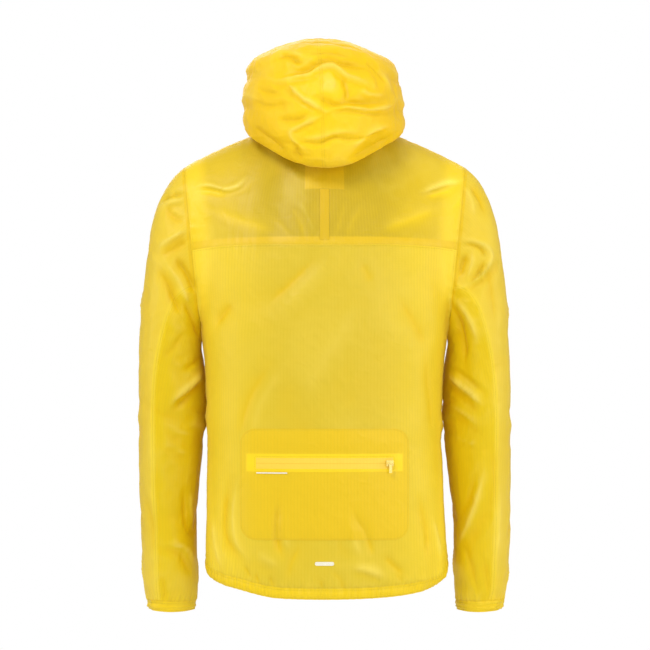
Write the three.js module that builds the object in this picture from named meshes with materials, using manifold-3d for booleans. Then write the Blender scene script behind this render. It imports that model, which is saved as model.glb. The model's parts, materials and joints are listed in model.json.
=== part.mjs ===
// A hooded windbreaker of thin ripstop cloth, hollow and filled out as if it were worn.
// Millimetres, +Z up. The front faces -Y, the back +Y, and the wearer's left is +X.
// The origin lies between the shoulders, level with the sides of the neck.

import * as THREE from "three";
import { mergeVertices } from "three/addons/utils/BufferGeometryUtils.js";
import Module from "manifold-3d";

const wasm = await Module();
wasm.setup();

// Cloth and seams
const WALL = 1.4;
const SEAM_GAP = 0.3;
const ZIP_GAP = 0.5;
const LAID_GAP = 0.9;

// Main sizes
const UNDERARM_Z = -330;
const NECK = { half_width: 82, back: 70, front: -62, side_z: 6, back_drop: 42, front_drop: 78 };
const SHOULDER = { tip_x: 222, tip_y: 2, tip_z: -57, bow: 0.2 };
const HEM = { side_z: -700, tail: 42, front_z: -690, tail_power: 0.62, height: 14 };
const HEM_GATHERS = { depth: 1.6, waves: 11, reach: 34 };
const CUFF = { height: 11, taper: 0.95, dip: 3 };
const CUFF_GATHERS = { share: 0.035, waves: 9, reach: 0.5 };
const SIDE_SEAM = { underarm_angle: 90, hem_angle: 70, bend: 0.7 };
const CHEST = {
  rise: 285,
  side_round: 176,
  neck_lean: 125,
  neck_rise: 190,
  shoulder_lean: 205,
  shoulder_rise: 55,
};
const SQUARENESS = 0.04;
const NECK_SHARE = 0.36;
const YOKE = { centre_z: -187, side_share: 0.5 };
const ZIP_HALF = 6;

// How finely each piece is divided
const STEPS = { neck: 5, shoulder: 8, torso: 11, chest: 14, sleeve: 14, hood: 15 };

// Cross-sections of the torso, from the tail to the underarm
const TORSO = [
  { z: -760, half_width: 184, back: 112, front: -114, side: 2 },
  { z: -712, half_width: 187, back: 116, front: -119, side: 2 },
  { z: -690, half_width: 191, back: 119, front: -123, side: 2 },
  { z: -640, half_width: 190, back: 122, front: -129, side: 2 },
  { z: -560, half_width: 188.5, back: 125, front: -134, side: 2 },
  { z: -477, half_width: 187.2, back: 127, front: -137, side: 2 },
  { z: -400, half_width: 187.6, back: 129, front: -138, side: 2 },
  { z: -358, half_width: 190.5, back: 130, front: -138, side: 2 },
  { z: UNDERARM_Z, half_width: 195, back: 130, front: -136, side: 2 },
];

// Rings of the sleeve, from the armhole to the cuff. Each has an outer and an inner point,
// its middle depth, its half depth, and how far its back leans outwards.
const SLEEVE = [
  { at: 0, out_x: 222, out_z: -57, in_x: 195, in_z: -330, middle: 2, depth: 56, lean: 0 },
  { at: 1, out_x: 246, out_z: -78, in_x: 197, in_z: -339, middle: 2, depth: 62, lean: 2 },
  { at: 2, out_x: 268, out_z: -122, in_x: 198, in_z: -349, middle: 1, depth: 66, lean: 6 },
  { at: 3, out_x: 281, out_z: -182, in_x: 197, in_z: -364, middle: -1, depth: 67, lean: 10 },
  { at: 4, out_x: 288, out_z: -252, in_x: 194, in_z: -386, middle: -4, depth: 66, lean: 14 },
  { at: 5, out_x: 294, out_z: -330, in_x: 191.5, in_z: -418, middle: -7, depth: 64, lean: 16 },
  { at: 6, out_x: 298, out_z: -410, in_x: 190.5, in_z: -458, middle: -9, depth: 61, lean: 14 },
  { at: 7, out_x: 298.5, out_z: -490, in_x: 195, in_z: -514, middle: -13, depth: 58, lean: 8 },
  { at: 8, out_x: 298, out_z: -570, in_x: 202, in_z: -580, middle: -19, depth: 54, lean: 4 },
  { at: 9, out_x: 295, out_z: -645, in_x: 205, in_z: -650, middle: -26, depth: 51, lean: 0 },
  { at: 10, out_x: 290, out_z: -712, in_x: 205, in_z: -715, middle: -32, depth: 46, lean: 0 },
  { at: 11, out_x: 282, out_z: -758, in_x: 208, in_z: -758, middle: -36, depth: 36, lean: 0 },
];

// Where the sleeve's two lengthwise seams lie round each ring, in degrees from its outer point
const CHEST_TURN = 180 / STEPS.chest;
const SLEEVE_SEAM_STEPS = { back: 9, front: 8 };
const SLEEVE_SEAMS = [
  {
    at: 0,
    back: SLEEVE_SEAM_STEPS.back * CHEST_TURN,
    front: -SLEEVE_SEAM_STEPS.front * CHEST_TURN,
  },
  { at: 2, back: 104, front: -98 },
  { at: 4, back: 90, front: -92 },
  { at: 6, back: 74, front: -85 },
  { at: 8, back: 68, front: -80 },
  { at: 11, back: 61, front: -75 },
];

// Rows of the hood, from the neck seam, down under the overhang, up the back and over the crown
// to the top of the face opening. A row runs from the centre back round the side to the rim.
// Back, side and rim are depths; sag bends the back's level, and shift sets it off centre.
const HOOD = [
  {
    at: 0, back: 70, back_z: -36, sag: 2, shift: 0,
    side: 0, side_x: 82, side_z: 6, rim: -62, rim_x: 0, rim_z: -72,
  },
  {
    at: 1, back: 92, back_z: -46, sag: 2, shift: 0,
    side: 2, side_x: 93, side_z: 22, rim: -70, rim_x: -1.5, rim_z: -48,
  },
  {
    at: 2, back: 120, back_z: -60, sag: 1, shift: 0,
    side: 4, side_x: 119, side_z: 9, rim: -78, rim_x: -3, rim_z: -24,
  },
  {
    at: 3, back: 148, back_z: -46, sag: 1, shift: 2,
    side: 5, side_x: 129, side_z: 16, rim: -84, rim_x: -3, rim_z: -3,
  },
  {
    at: 4, back: 166, back_z: -8, sag: 1.2, shift: 3,
    side: 6, side_x: 131, side_z: 36, rim: -93, rim_x: 46, rim_z: 18,
  },
  {
    at: 5, back: 170, back_z: 40, sag: 1.6, shift: 4,
    side: 6, side_x: 129, side_z: 62, rim: -94, rim_x: 88, rim_z: 46,
  },
  {
    at: 6, back: 162, back_z: 84, sag: 2, shift: 6,
    side: 6, side_x: 122, side_z: 88, rim: -88, rim_x: 100, rim_z: 74,
  },
  {
    at: 7, back: 136, back_z: 122, sag: 2, shift: 8,
    side: 3, side_x: 106, side_z: 111, rim: -80, rim_x: 96, rim_z: 96,
  },
  {
    at: 8, back: 90, back_z: 143, sag: 2, shift: 9,
    side: -4, side_x: 79, side_z: 128, rim: -74, rim_x: 76, rim_z: 110,
  },
  {
    at: 9, back: 28, back_z: 145, sag: 2, shift: 7,
    side: -22, side_x: 54, side_z: 136, rim: -72, rim_x: 54, rim_z: 120,
  },
  {
    at: 10, back: -58, back_z: 132, sag: 2, shift: 4,
    side: -66, side_x: 36, side_z: 129, rim: -72, rim_x: 40, rim_z: 126,
  },
];
const CHIN_STEP = 4;

// The largest folds. Each runs from one place to another as seen from the back (+1) or the
// front (-1), rises out of the cloth or, below zero, sinks into it, and has a width.
const HOOD_FOLDS = [
  { of: "hood roll crease", side: 1, x1: 92, z1: 74, x2: 46, z2: 79, rise: -11, width: 11 },
  { of: "hood roll crease", side: 1, x1: 46, z1: 80, x2: 6, z2: 98, rise: -12, width: 11 },
  { of: "hood roll crease", side: 1, x1: 6, z1: 98, x2: -58, z2: 84, rise: -12, width: 11 },
  { of: "hood middle ridge", side: 1, x1: 58, z1: 64, x2: 2, z2: 19, rise: 8, width: 10 },
  { of: "hood right hollow", side: 1, x1: 22, z1: 52, x2: -50, z2: 44, rise: -9, width: 17 },
  { of: "hood right ridge", side: 1, x1: 2, z1: 19, x2: -114, z2: 32, rise: 7, width: 10 },
  { of: "hood left hollow", side: 1, x1: 74, z1: 10, x2: 28, z2: 7, rise: -8, width: 11 },
  { of: "hood lower ridge", side: 1, x1: 56, z1: 2, x2: 40, z2: -36, rise: 5, width: 10 },
  { of: "hood lower left hollow", side: 1, x1: 110, z1: 4, x2: 72, z2: -22, rise: -8, width: 13 },
  { of: "hood lower right hollow", side: 1, x1: -38, z1: -34, x2: -96, z2: -2, rise: -6, width: 13 },
];
const BODY_FOLDS = [
  { of: "left shoulder ridge", side: 1, x1: 243, z1: -92, x2: 158, z2: -93, rise: 6, width: 14 },
  { of: "left sleeve head dent", side: 1, x1: 238, z1: -118, x2: 232, z2: -142, rise: -7, width: 14 },
  { of: "left sleeve ridge", side: 1, x1: 256, z1: -180, x2: 224, z2: -158, rise: 6, width: 12 },
  { of: "left armhole hollow", side: 1, x1: 222, z1: -205, x2: 232, z2: -272, rise: -7, width: 14 },
  { of: "left elbow ridge", side: 1, x1: 196, z1: -388, x2: 240, z2: -430, rise: 8, width: 13 },
  { of: "left elbow hollow", side: 1, x1: 208, z1: -432, x2: 250, z2: -472, rise: -6, width: 14 },
  { of: "left forearm hollow", side: 1, x1: 230, z1: -575, x2: 214, z2: -655, rise: -5, width: 13 },
  { of: "left wrist ridge", side: 1, x1: 258, z1: -654, x2: 212, z2: -690, rise: 6, width: 13 },
  { of: "right shoulder ridge", side: 1, x1: -228, z1: -78, x2: -160, z2: -92, rise: 6, width: 14 },
  { of: "right sleeve hollow", side: 1, x1: -216, z1: -180, x2: -238, z2: -234, rise: -8, width: 17 },
  { of: "right sleeve ridge", side: 1, x1: -206, z1: -262, x2: -238, z2: -306, rise: 7, width: 13 },
  { of: "right inner hollow", side: 1, x1: -212, z1: -322, x2: -214, z2: -380, rise: -7, width: 13 },
  { of: "right elbow ridge", side: 1, x1: -194, z1: -392, x2: -248, z2: -434, rise: 8, width: 13 },
  { of: "right forearm ridge", side: 1, x1: -252, z1: -548, x2: -212, z2: -678, rise: 5, width: 13 },
  { of: "back upper hollow", side: 1, x1: 24, z1: -212, x2: 88, z2: -276, rise: -5, width: 20 },
  { of: "back left hollow", side: 1, x1: 150, z1: -282, x2: 168, z2: -306, rise: -6, width: 18 },
  { of: "back right hollow", side: 1, x1: -122, z1: -270, x2: -160, z2: -338, rise: -6, width: 20 },
  { of: "back left upright", side: 1, x1: 88, z1: -372, x2: 130, z2: -480, rise: 3, width: 24 },
  { of: "tail left hollow", side: 1, x1: 150, z1: -575, x2: 136, z2: -688, rise: -5, width: 15 },
  { of: "tail left ridge", side: 1, x1: 100, z1: -668, x2: 70, z2: -684, rise: 5, width: 14 },
  { of: "tail right ridge", side: 1, x1: -48, z1: -676, x2: -92, z2: -698, rise: 5, width: 14 },
  { of: "tail right hollow", side: 1, x1: -96, z1: -682, x2: -128, z2: -708, rise: -5, width: 14 },
  { of: "front left drape", side: -1, x1: 60, z1: -120, x2: 130, z2: -210, rise: -6, width: 20 },
  { of: "front right drape", side: -1, x1: -56, z1: -128, x2: -138, z2: -222, rise: -6, width: 20 },
  { of: "front left upright", side: -1, x1: 120, z1: -400, x2: 96, z2: -640, rise: 5, width: 24 },
  { of: "front right upright", side: -1, x1: -88, z1: -440, x2: -116, z2: -650, rise: 5, width: 22 },
  { of: "front left elbow", side: -1, x1: 206, z1: -452, x2: 262, z2: -402, rise: -7, width: 14 },
  { of: "front right elbow", side: -1, x1: -206, z1: -468, x2: -264, z2: -412, rise: -7, width: 14 },
  { of: "front left forearm", side: -1, x1: 214, z1: -520, x2: 262, z2: -488, rise: 5, width: 12 },
  { of: "front right forearm", side: -1, x1: -216, z1: -540, x2: -262, z2: -502, rise: 5, width: 12 },
];
const FOLD_REACH = 26;
const HOOD_FOLDS_FROM = 2;
const SLEEVE_INSIDE_X = 189.5;
const CUFF_MIDDLE_Y = -36;

// Pocket on the lower back, and what lies on the yoke and the hem
const POCKET = { half_width: 132, top_z: -474, bottom_z: -648, corner: 24, columns: 18 };
const POCKET_WINDOW = { half_width: 107, top_z: -519.5, bottom_z: -536.5 };
const STRIP = { left_x: 7, right_x: -7, bottom_z: -178, top_z: -99 };
const NECK_PATCH = { left_x: 34, right_x: -34, bottom_z: -97, top_z: -66 };
const POCKET_BAR = { left_x: 106, right_x: 58, top_z: -542, bottom_z: -544 };
const HEM_BAR = { left_x: 15, right_x: -15, top_z: -682, bottom_z: -688 };
const BAR_WALL = 1;

// Sliders and their pull tabs
const SLIDER = {
  width: 9,
  length: 11,
  thick: 2.6,
  ear: 1.2,
  ear_length: 3,
  ear_rise: 3.4,
  ear_room: 0.4,
  pin_rise: 2.3,
  pin_radius: 0.6,
};
const PULL = { width: 4.6, length: 15, thick: 1.1, eye_radius: 1.7, hole_radius: 1 };
const POCKET_SLIDER = { x: -101, z: -528 };

const COLOURS = {
  cloth: 0xf2d22c,
  yoke: 0xe3c01c,
  binding: 0xecc814,
  zip: 0xf6dc6a,
  hardware: 0xe9d27a,
  reflective: 0xe4e2cf,
};

const RIGHT_ANGLE = Math.PI / 2;
const BACK = 1;
const FRONT = -1;
const LEFT = 1;
const RIGHT = -1;

function mix(a, b, t) {
  return a + (b - a) * t;
}

function radians(degrees) {
  return THREE.MathUtils.degToRad(degrees);
}

function steps(count, from = 0, to = 1) {
  return Array.from({ length: count + 1 }, (_, i) => mix(from, to, i / count));
}

// A row of a table at any place between its rows, every column joined by a smooth curve
function rowAt(table, key, place) {
  const last = table.length - 1;
  let i = 0;
  while (i < last - 1 && place > table[i + 1][key]) {
    i += 1;
  }
  const [before, low, high, after] = [i - 1, i, i + 1, i + 2]
    .map((n) => table[THREE.MathUtils.clamp(n, 0, last)]);
  const span = high[key] - low[key];
  const t = THREE.MathUtils.clamp((place - low[key]) / span, 0, 1);
  const row = {};
  for (const name of Object.keys(low)) {
    const rise_low = span * (high[name] - before[name]) / (high[key] - before[key]);
    const rise_high = span * (after[name] - low[name]) / (after[key] - low[key]);
    row[name] = low[name] * (1 + 2 * t) * (1 - t) ** 2
      + rise_low * t * (1 - t) ** 2
      + high[name] * t * t * (3 - 2 * t)
      + rise_high * t * t * (t - 1);
  }
  return row;
}

// Folds lie where they are seen, so they move the cloth straight out or in
function middleDepth(point) {
  const below = Math.max(0, UNDERARM_Z - point.z) / (UNDERARM_Z - SLEEVE.at(-1).out_z);
  return Math.abs(point.x) > SLEEVE_INSIDE_X ? CUFF_MIDDLE_Y * below : 0;
}

function foldHeight(fold, point) {
  const along_x = fold.x2 - fold.x1;
  const along_z = fold.z2 - fold.z1;
  const share = ((point.x - fold.x1) * along_x + (point.z - fold.z1) * along_z)
    / (along_x ** 2 + along_z ** 2);
  const t = THREE.MathUtils.clamp(share, 0, 1);
  const distance = Math.hypot(
    point.x - fold.x1 - t * along_x,
    point.z - fold.z1 - t * along_z,
  );
  return fold.rise * Math.exp(-((distance / fold.width) ** 2));
}

function folded(point, folds, share = 1) {
  const depth = point.y - middleDepth(point);
  const moved = point.clone();
  for (const fold of folds) {
    const facing = THREE.MathUtils.smoothstep(depth * fold.side, 0, FOLD_REACH);
    moved.y += share * fold.side * facing * foldHeight(fold, point);
  }
  return moved;
}

// All shapes below are first worked out on the wearer's left, then set on their own side
function placed(side, point) {
  return folded(new THREE.Vector3(side * point.x, point.y, point.z), BODY_FOLDS);
}

// The torso below the underarm, at an angle in degrees from the centre back
function squaredSine(angle) {
  return (Math.sin(angle) + SQUARENESS * Math.sin(3 * angle)) / (1 - SQUARENESS);
}

function torsoPoint(degrees, z) {
  const ring = rowAt(TORSO, "z", z);
  const angle = radians(degrees);
  const gathered = HEM_GATHERS.depth * Math.cos(HEM_GATHERS.waves * 2 * angle)
    * Math.exp(-(((z - HEM.side_z) / HEM_GATHERS.reach) ** 2));
  const depth = squaredSine(angle + RIGHT_ANGLE);
  const reach = gathered + (depth > 0 ? ring.back - ring.side : ring.side - ring.front);
  return new THREE.Vector3(
    (ring.half_width + gathered) * squaredSine(angle),
    ring.side + reach * depth,
    z,
  );
}

function seamAngle(height) {
  return mix(SIDE_SEAM.hem_angle, SIDE_SEAM.underarm_angle, height ** SIDE_SEAM.bend);
}

function torsoAngle(face, across, height) {
  const seam = seamAngle(height);
  return face === BACK ? seam * across : 180 - (180 - seam) * across;
}

function hemLevel(degrees) {
  const cosine = Math.cos(radians(degrees));
  const tail = HEM.tail * Math.max(0, cosine) ** HEM.tail_power;
  const rise = (HEM.front_z - HEM.side_z) * THREE.MathUtils.smoothstep(-cosine, 0, 0.5);
  return HEM.side_z - tail + rise;
}

// The neckline, at an angle from the centre back (or the centre front) to the side of the neck
function neckPoint(face, degrees) {
  const angle = radians(degrees);
  const drop = face === BACK ? NECK.back_drop : NECK.front_drop;
  const depth = face === BACK ? NECK.back : NECK.front;
  return new THREE.Vector3(
    NECK.half_width * Math.sin(angle),
    depth * Math.cos(angle),
    NECK.side_z - drop * Math.cos(angle) ** 2,
  );
}

function shoulderPoint(share) {
  const fall = mix(share, share ** 2, SHOULDER.bow);
  return new THREE.Vector3(
    mix(NECK.half_width, SHOULDER.tip_x, share),
    SHOULDER.tip_y * share,
    mix(NECK.side_z, SHOULDER.tip_z, fall),
  );
}

// A point of the sleeve, at a place down its rings and an angle in degrees round it
function sleevePoint(at, degrees) {
  const ring = rowAt(SLEEVE, "at", at);
  const angle = radians(degrees);
  const puckered = 1 + CUFF_GATHERS.share * Math.cos(CUFF_GATHERS.waves * angle)
    * Math.exp(-(((at - SLEEVE.at(-1).at) / CUFF_GATHERS.reach) ** 2));
  const outward = puckered * Math.cos(angle);
  const backward = puckered * Math.sin(angle);
  return new THREE.Vector3(
    (ring.out_x + ring.in_x) / 2 + (ring.out_x - ring.in_x) / 2 * outward + ring.lean * backward,
    ring.middle + ring.depth * backward,
    (ring.out_z + ring.in_z) / 2 + (ring.out_z - ring.in_z) / 2 * outward,
  );
}

// A cuff narrows a little, and its lower edge dips where it faces the front and the back
function cuffPoint(share, degrees) {
  const last = SLEEVE.at(-1);
  const point = sleevePoint(last.at, degrees);
  const middle = new THREE.Vector3((last.out_x + last.in_x) / 2, last.middle, point.z);
  point.lerpVectors(middle, point, mix(1, CUFF.taper, share));
  const dip = CUFF.dip * Math.sin(radians(degrees)) ** 2;
  point.z -= share * (CUFF.height + dip);
  return point;
}

// A curve between two points that leaves and arrives along given directions
function hermite(start, leave, end, arrive, t) {
  return new THREE.Vector3()
    .addScaledVector(start, (1 + 2 * t) * (1 - t) ** 2)
    .addScaledVector(leave, t * (1 - t) ** 2)
    .addScaledVector(end, t * t * (3 - 2 * t))
    .addScaledVector(arrive, t * t * (t - 1));
}

// The chest and upper back, between the underarm level (0) and the neck and shoulder (1), from
// the centre (0) to the armhole (1)
function chestColumn(face, across, t) {
  const start = torsoPoint(torsoAngle(face, across, 1), UNDERARM_Z);
  const neck_share = Math.min(1, across / NECK_SHARE);
  const end = across <= NECK_SHARE
    ? neckPoint(face, 90 * neck_share)
    : shoulderPoint((across - NECK_SHARE) / (1 - NECK_SHARE));
  const turn = across ** 4;
  const leave = new THREE.Vector3(0, face * CHEST.side_round * turn, CHEST.rise * (1 - turn));
  const over = THREE.MathUtils.smoothstep(neck_share, 0, 1);
  const arrive = new THREE.Vector3(
    0,
    -face * mix(CHEST.neck_lean, CHEST.shoulder_lean, over),
    mix(CHEST.neck_rise, CHEST.shoulder_rise, over),
  );
  return hermite(start, leave, end, arrive, t);
}

function chestPoint(face, across, t) {
  const edge = chestColumn(face, 1, t);
  const armhole = sleevePoint(0, face * 180 * (1 - t));
  return chestColumn(face, across, t).addScaledVector(armhole.sub(edge), across ** 3);
}

// The whole back or front: height 0 at the top of the hem casing, 1 at the underarm and 2 at
// the neck and shoulder
function bodyPoint(face, across, height) {
  if (height >= 1) {
    return chestPoint(face, across, height - 1);
  }
  const angle = torsoAngle(face, across, height);
  return torsoPoint(angle, mix(hemLevel(angle) + HEM.height, UNDERARM_Z, height));
}

function hemPoint(face, across, share) {
  const angle = torsoAngle(face, across, 0);
  return torsoPoint(angle, hemLevel(angle) + HEM.height * share);
}

// The yoke's lower edge keeps its level from the centre back to the armhole
function yokeLevel(across) {
  if (across === 1) {
    return YOKE.side_share;
  }
  const level = mix(YOKE.centre_z, sleevePoint(0, 180 * (1 - YOKE.side_share)).z, across ** 2);
  let low = 0;
  let high = 1;
  for (let halving = 0; halving < 30; halving += 1) {
    const middle = (low + high) / 2;
    if (chestPoint(BACK, across, middle).z < level) {
      low = middle;
    } else {
      high = middle;
    }
  }
  return low;
}

function yokeHeight(across, share) {
  return mix(1 + yokeLevel(across), 2, share);
}

// The hood: around is 0 at the centre back, 1 at the side and 2 at the centre front
function hoodPoint(at, around) {
  const row = rowAt(HOOD, "at", at);
  const angle = RIGHT_ANGLE * (around <= 1 ? around : 2 - around);
  const cosine = Math.cos(angle);
  if (around <= 1) {
    return new THREE.Vector3(
      row.side_x * Math.sin(angle),
      mix(row.side, row.back, cosine),
      mix(row.side_z, row.back_z, cosine ** row.sag),
    );
  }
  return new THREE.Vector3(
    mix(row.rim_x, row.side_x, Math.sin(angle)),
    mix(row.side, row.rim, cosine),
    mix(row.side_z, row.rim_z, cosine ** 2),
  );
}

function hoodPlaced(side, at, around) {
  const point = hoodPoint(at, around);
  point.x = side * point.x + rowAt(HOOD, "at", at).shift * Math.max(0, 1 - around);
  return folded(point, HOOD_FOLDS, THREE.MathUtils.smoothstep(at, 0, HOOD_FOLDS_FROM));
}

// Shared places along the seams, so that neighbouring pieces meet point for point
const ZIP_ACROSS = NECK_SHARE * Math.asin(ZIP_HALF / NECK.half_width) / RIGHT_ANGLE;
const SHOULDER_STEPS = steps(STEPS.shoulder, NECK_SHARE, 1).slice(1);
const BACK_ACROSS = [...steps(STEPS.neck, 0, NECK_SHARE), ...SHOULDER_STEPS];
const FRONT_ACROSS = [...steps(STEPS.neck, ZIP_ACROSS, NECK_SHARE), ...SHOULDER_STEPS];
const WHOLE_BACK = [...BACK_ACROSS.slice(1).map((across) => -across).reverse(), ...BACK_ACROSS];
const TORSO_LEVELS = steps(STEPS.torso);
const CHEST_LEVELS = steps(STEPS.chest, 1, 2).slice(1);
const HOOD_ROWS = steps(STEPS.hood, 0, HOOD.at(-1).at);
const HOOD_AROUND = [
  ...steps(STEPS.neck),
  ...steps(STEPS.neck, ZIP_ACROSS, NECK_SHARE).reverse().slice(1).map((a) => 2 - a / NECK_SHARE),
];

// Every piece starts as a grid of the points of its outer face, in rows. Faces says which way
// its middle faces.
const pieces = [];

function gridOf(rows, columns, pointAt) {
  return rows.map((row) => columns.map((column) => pointAt(column, row)));
}

function cutPiece(name, part, colour, faces, grid, options = {}) {
  const middle = grid[Math.floor(grid.length / 2) - 1];
  const above = grid[Math.floor(grid.length / 2)];
  const i = Math.floor(middle.length / 2);
  const outward = cellNormal(middle[i - 1], middle[i], above[i], above[i - 1]);
  const turned = outward.dot(new THREE.Vector3(...faces)) < 0;
  const laid = turned ? grid.map((row) => [...row].reverse()) : grid;
  pieces.push({ name, part, colour, grid: laid, ...options });
  return laid;
}

function cellNormal(a, b, c, d) {
  const first = new THREE.Vector3().subVectors(c, a);
  return first.cross(new THREE.Vector3().subVectors(d, b));
}

function placeKey(point) {
  return point.toArray().map((value) => Math.round(value * 20)).join();
}

function eachCell(piece, visit) {
  const columns = piece.grid[0].length;
  const last = piece.loop ? columns : columns - 1;
  for (let row = 0; row < piece.grid.length - 1; row += 1) {
    for (let column = 0; column < last; column += 1) {
      if (!piece.window || !piece.window(row, column)) {
        visit(row, column, (column + 1) % columns);
      }
    }
  }
}

// The direction out of the cloth at every point, shared by the pieces of one part of the jacket.
// The sleeves and the hood meet the body in a valley, so there each part keeps its own.
function normalKey(piece, point) {
  return `${piece.part} ${placeKey(point)}`;
}

function sumNormals() {
  const sums = new Map();
  for (const piece of pieces) {
    eachCell(piece, (row, column, next) => {
      const low = piece.grid[row];
      const high = piece.grid[row + 1];
      const corners = [low[column], low[next], high[next], high[column]];
      const normal = cellNormal(...corners).normalize();
      for (const key of corners.map((corner) => normalKey(piece, corner))) {
        const entry = sums.get(key) ?? { total: new THREE.Vector3(), count: 0 };
        entry.total.add(normal);
        entry.count += 1;
        sums.set(key, entry);
      }
    });
  }
  return sums;
}

// One closed wall of cloth: the outer face, the inner face and an edge all round
function clothGeometry(piece, sums) {
  const columns = piece.grid[0].length;
  const points = piece.grid.flat();
  const normals = [];
  const depths = [];
  for (const point of points) {
    const { total, count } = sums.get(normalKey(piece, point));
    depths.push((piece.wall ?? WALL) * count / total.length());
    normals.push(total.clone().normalize());
  }
  const faces = [];
  const edges = [];
  const kept = new Set();
  eachCell(piece, (row, column) => kept.add(row * columns + column));
  eachCell(piece, (row, column, next) => {
    const corners = [
      row * columns + column,
      row * columns + next,
      (row + 1) * columns + next,
      (row + 1) * columns + column,
    ];
    const before = (column + columns - 1) % columns;
    const open = [
      row === 0 || !kept.has((row - 1) * columns + column),
      !kept.has(row * columns + next) || (!piece.loop && next === columns - 1),
      !kept.has((row + 1) * columns + column),
      !kept.has(row * columns + before) || (!piece.loop && column === 0),
    ];
    faces.push([corners[0], corners[1], corners[2]], [corners[0], corners[2], corners[3]]);
    open.forEach((is_open, n) => {
      if (is_open) {
        edges.push([corners[n], corners[(n + 1) % 4]]);
      }
    });
  });

  // Each free edge draws back by half the gap between two pieces
  const inward = points.map(() => []);
  for (const [from, to] of edges) {
    const along = new THREE.Vector3().subVectors(points[to], points[from]).normalize();
    for (const end of [from, to]) {
      inward[end].push(new THREE.Vector3().crossVectors(normals[end], along).normalize());
    }
  }
  const outer = [];
  const inner = [];
  points.forEach((point, n) => {
    const moved = point.clone().addScaledVector(normals[n], piece.lift ?? 0);
    if (inward[n].length === 2) {
      const [one, other] = inward[n];
      const pull = (piece.gap ?? SEAM_GAP) / 2 / Math.max(0.4, 1 + one.dot(other));
      moved.addScaledVector(one, pull).addScaledVector(other, pull);
    }
    outer.push(moved);
    inner.push(moved.clone().addScaledVector(normals[n], -depths[n]));
  });

  const count = points.length;
  const index = [];
  for (const [a, b, c] of faces) {
    index.push(a, b, c, a + count, c + count, b + count);
  }
  for (const [from, to] of edges) {
    index.push(to, from, from + count, to, from + count, to + count);
  }
  return closedGeometry([...outer, ...inner], index);
}

// Only the points that faces use, as one indexed closed mesh
function closedGeometry(points, index) {
  const used = [...new Set(index)];
  const place = new Map(used.map((old, n) => [old, n]));
  const geometry = new THREE.BufferGeometry();
  geometry.setAttribute("position", new THREE.Float32BufferAttribute(
    used.flatMap((old) => points[old].toArray()),
    3,
  ));
  geometry.setIndex(index.map((old) => place.get(old)));
  geometry.computeVertexNormals();
  return geometry;
}

function clothMaterial(colour) {
  return new THREE.MeshStandardMaterial({ color: COLOURS[colour], roughness: 0.45, metalness: 0 });
}

function hardMaterial() {
  return new THREE.MeshStandardMaterial({ color: COLOURS.hardware, roughness: 0.4, metalness: 0.1 });
}

// Back, yoke and fronts
function cutBody() {
  const backAt = (across, height) => placed(
    Math.sign(across) || LEFT,
    bodyPoint(BACK, Math.abs(across), height),
  );
  const levels = [...TORSO_LEVELS, ...steps(STEPS.chest / 2).slice(1)];
  const back = gridOf([...levels.keys()], WHOLE_BACK, (across, n) => {
    const above = n - STEPS.torso;
    const seam = yokeHeight(Math.abs(across), 0);
    return backAt(across, above > 0 ? mix(1, seam, levels[n]) : levels[n]);
  });
  const yoke = gridOf(steps(STEPS.chest / 2), WHOLE_BACK, (across, share) => (
    backAt(across, yokeHeight(Math.abs(across), share))
  ));
  const back_grid = cutPiece("back_panel", "body", "cloth", [0, 1, 0], back);
  const yoke_grid = cutPiece("back_yoke", "body", "yoke", [0, 1, 0], yoke);
  for (const [name, side] of [["front_left", LEFT], ["front_right", RIGHT]]) {
    const front = gridOf([...TORSO_LEVELS, ...CHEST_LEVELS], FRONT_ACROSS, (across, height) => (
      placed(side, bodyPoint(FRONT, across, height))
    ));
    cutPiece(name, "body", "cloth", [0, -1, 0], front);
  }
  return { back_grid, yoke_grid };
}

function cutHem() {
  const back = gridOf([0, 1], WHOLE_BACK, (across, share) => placed(
    Math.sign(across) || LEFT,
    hemPoint(BACK, Math.abs(across), share),
  ));
  cutPiece("hem_back", "body", "binding", [0, 1, 0], back);
  for (const [name, side] of [["hem_front_left", LEFT], ["hem_front_right", RIGHT]]) {
    const front = gridOf([0, 1], FRONT_ACROSS, (across, share) => (
      placed(side, hemPoint(FRONT, across, share))
    ));
    cutPiece(name, "body", "binding", [0, -1, 0], front);
  }
}

// Each sleeve is an upper and an under piece, with a narrow cuff
function cutSleeves() {
  const top_count = SLEEVE_SEAM_STEPS.back + SLEEVE_SEAM_STEPS.front;
  const under_count = 2 * STEPS.chest - top_count;
  const rings = steps(STEPS.sleeve, 0, SLEEVE.at(-1).at);
  const topAngle = (at, share) => {
    const seams = rowAt(SLEEVE_SEAMS, "at", at);
    return mix(seams.front, seams.back, share);
  };
  const underAngle = (at, share) => {
    const seams = rowAt(SLEEVE_SEAMS, "at", at);
    return mix(seams.back, seams.front + 360, share);
  };
  for (const [name, side] of [["left", LEFT], ["right", RIGHT]]) {
    const top = gridOf(rings, steps(top_count), (share, at) => (
      placed(side, sleevePoint(at, topAngle(at, share)))
    ));
    const under = gridOf(rings, steps(under_count), (share, at) => (
      placed(side, sleevePoint(at, underAngle(at, share)))
    ));
    const last = SLEEVE.at(-1).at;
    const round = [
      ...steps(top_count).map((share) => topAngle(last, share)),
      ...steps(under_count).slice(1, -1).map((share) => underAngle(last, share)),
    ];
    const cuff = gridOf([0, 1], round, (angle, share) => placed(side, cuffPoint(share, angle)));
    const part = `sleeve ${name}`;
    cutPiece(`sleeve_top_${name}`, part, "cloth", [side, 0, 0], top);
    cutPiece(`sleeve_under_${name}`, part, "cloth", [-side, 0, 0], under);
    cutPiece(`cuff_${name}`, part, "binding", [side, 0, 0], cuff, { loop: true });
  }
}

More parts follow.
